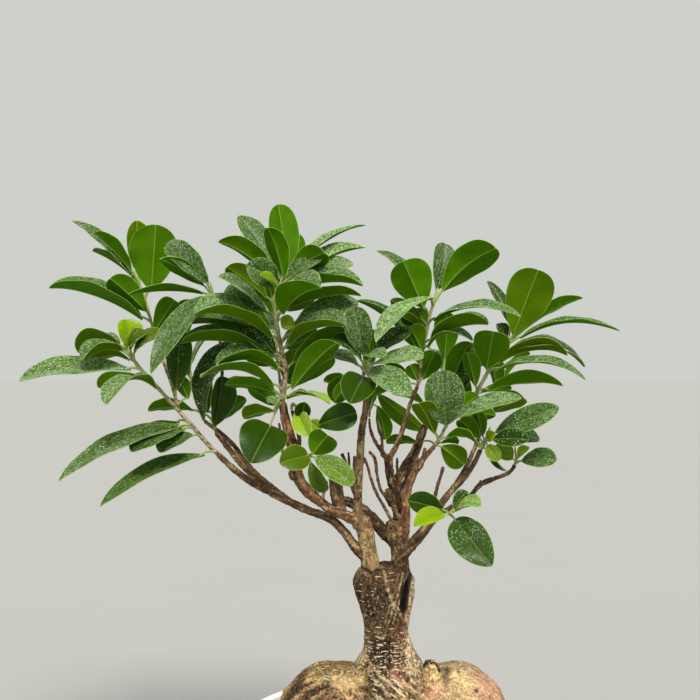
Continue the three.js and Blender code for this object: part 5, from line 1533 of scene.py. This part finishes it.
finishes = [leaf_skin("leaf_top"), leaf_skin("leaf_underside"), green_stem(), water_and_glints()]
for place, (name, shoot) in enumerate(SPRAYS.items()):
    draw = np.random.default_rng(100 + place)
    growth = Growth()
    stems = [grow_stem(growth, route, draw) for route in shoot["stems"]]
    for k, row in enumerate(shoot["leaves"] + SMALL_LEAVES.get(name, [])):
        leaf = leaf_as_seen(row)
        facing_up = leaf[2][2]
        # How far the upper side faces up sets, with the wetness, the painted sheen of the bright room on
        # a wet leaf
        level = np.clip((facing_up - 0.5) / 0.35, 0, 1)
        wet = (0.6 + 0.4 * draw.uniform(0, 1)) * np.clip(0.5 + 1.2 * facing_up, 0, 1)
        if k in SOAKED.get(name, []):
            wet = 1.0
            level = max(0.3 + level, 0.6)
        if k in DRY.get(name, []):
            wet = 0.0
        film = 0.4 if k in WET_SHEEN_LEAVES.get(name, []) else (wet * level) ** 1.5
        wet *= 0.7 + 0.3 * level
        young = YOUNG.get(name, {}).get(k, 0.0)
        outline = OUTLINES.get(name, {}).get(k)
        grow_leaf(growth, stems, leaf, draw, young, wet, film, outline, AGES.get(name, {}).get(k))
    finish_shoot(growth, name, finishes)

# The shoots at the back
# More of the same growth on the limbs that reach back, each leaf a golden angle round its stem
# from the last and those near the tip standing up more.
GOLDEN_ANGLE = 137.5
# A stem route, then the leaves as [how many, the longest one's length, width, turn of the first]
BACK_SPRAYS = {
    "spray_back_left": {
        "stem": [
            [-111.6, 268.6, 40.4, 1.2], [-117, 282, 47, 1.1], [-120, 298, 52, 1], [-122, 315, 54, 0.8],
        ],
        "leaves": [7, 38, 16, 200],
    },
    "spray_back_centre_left": {
        "stem": [[-64.2, 275.8, 44.3, 1.2], [-66, 292, 52, 1.1], [-68, 312, 60, 1], [-69, 334, 66, 0.8]],
        "leaves": [8, 44, 18, 170],
    },
    "spray_back_middle": {
        "stem": [[-14.8, 278.8, 36.4, 1.1], [-13, 290, 44, 1], [-10, 304, 52, 0.8]],
        "leaves": [5, 38, 16, 190],
        "small leaves": [
            [-11, 288, 42, 22, 262, 36, 12, 150, 3], [-9, 281, 38, -2.4, 257, 34, 11, -150, 2],
        ],
    },
    "spray_back_right": {
        "stem": [[23.4, 268.8, 46.4, 1.2], [27, 280, 54, 1.1], [31, 293, 61, 1], [33, 306, 65, 0.8]],
        "leaves": [8, 38, 17, 150],
    },
    "spray_back_far_right": {
        "stem": [[55.3, 263.7, 36.6, 1.1], [60, 274, 44, 1], [66, 287, 50, 0.8]],
        "leaves": [5, 36, 16, 160],
    },
}


def fixed_draw(number):
    """The same draw for the same number each time, between 0 and 1."""
    spread = math.sin(number * 12.9898) * 43758.5453
    return spread - math.floor(spread)


for place, (name, shoot) in enumerate(BACK_SPRAYS.items()):
    draw = np.random.default_rng(200 + place)
    growth = Growth()
    stem = grow_stem(growth, shoot["stem"], draw)
    places, headings, _ = stem
    count, longest, width, first_turn = shoot["leaves"]
    seed = 40 * (place + 1)
    for k in range(count):
        along = 0.12 + 0.86 * k / (count - 1)
        spot = int(along * (len(places) - 1))
        foot, heading = places[spot], headings[spot]
        turn = math.radians(first_turn + GOLDEN_ANGLE * k)
        lean = math.radians(12 + 55 * along * along + 14 * fixed_draw(seed + k))
        out = np.array((math.cos(turn), math.sin(turn), 0))
        out = unit(out - heading * (out @ heading))
        away = out * math.cos(lean) + heading * math.sin(lean)
        length = longest * (0.72 + 0.28 * fixed_draw(seed + 3 * k))
        upper = unit(heading - away * (heading @ away))
        leaf = (foot, foot + away * length, upper, width, 0.1 * length, 0.22)
        # Back leaves: wet 0.8, with a painted sheen of 0.5 on their upper sides
        grow_leaf(growth, [stem], leaf, draw, 0.0, 0.8, 0.5)
    for row in shoot.get("small leaves", []):
        grow_leaf(growth, [stem], leaf_as_seen(row), draw, 0.0, 0.5)
    finish_shoot(growth, name, finishes)

# The floor, the lights and the camera
# A plain pale floor under soft studio light from the upper right, seen from straight in front at
# the height of the crown.
FLOOR_REACH = 9000
FLOOR_LEVEL = -0.2
# Far, soft lights: [the way they come from, how widely they spread, strength, colour]
LAMPS = {
    "window": [(0.28, -0.88, 1.15), 20, 3.6, (1.0, 0.985, 0.95)],
    "room": [(-0.9, -0.6, 0.9), 60, 0.6, (0.95, 0.98, 1.0)],
}
ROOM_COLOUR = (0.62, 0.63, 0.60, 1)


def pale_floor():
    corners = [(x * FLOOR_REACH, y * FLOOR_REACH, FLOOR_LEVEL)
               for x, y in ((-1, -1), (1, -1), (1, 1), (-1, 1))]
    material, tree = new_material("pale_floor", Roughness=0.9, Specular_IOR_Level=0.2)
    colour = mixed(tree, spotted(tree, 3, 4), (0.36, 0.358, 0.343), (0.38, 0.378, 0.363))
    make_piece("pale_floor", corners, [(0, 1, 2, 3)], [dressed(material, colour)])


pale_floor()
for name, (place, spread, power, colour) in LAMPS.items():
    light = bpy.data.lights.new(name, "SUN")
    light.angle = math.radians(spread)
    light.energy = power
    light.color = colour
    holder = bpy.data.objects.new(name, light)
    holder.location = place
    holder.rotation_euler = (-Vector(place)).to_track_quat("-Z", "Y").to_euler()
    bpy.context.scene.collection.objects.link(holder)
world = bpy.data.worlds.new("pale_room")
world.use_nodes = True
world.node_tree.nodes["Background"].inputs["Color"].default_value = ROOM_COLOUR
world.node_tree.nodes["Background"].inputs["Strength"].default_value = 1.0
bpy.context.scene.world = world
bpy.context.scene.view_settings.view_transform = "Standard"

camera = bpy.data.cameras.new("camera")
camera.sensor_width = 36
camera.lens = 50
camera.clip_start = 0.01
viewpoint = bpy.data.objects.new("camera", camera)
viewpoint.location = (EYE * MM).tolist()
viewpoint.rotation_euler = (math.radians(90), 0, 0)
bpy.context.scene.collection.objects.link(viewpoint)
bpy.context.scene.camera = viewpoint
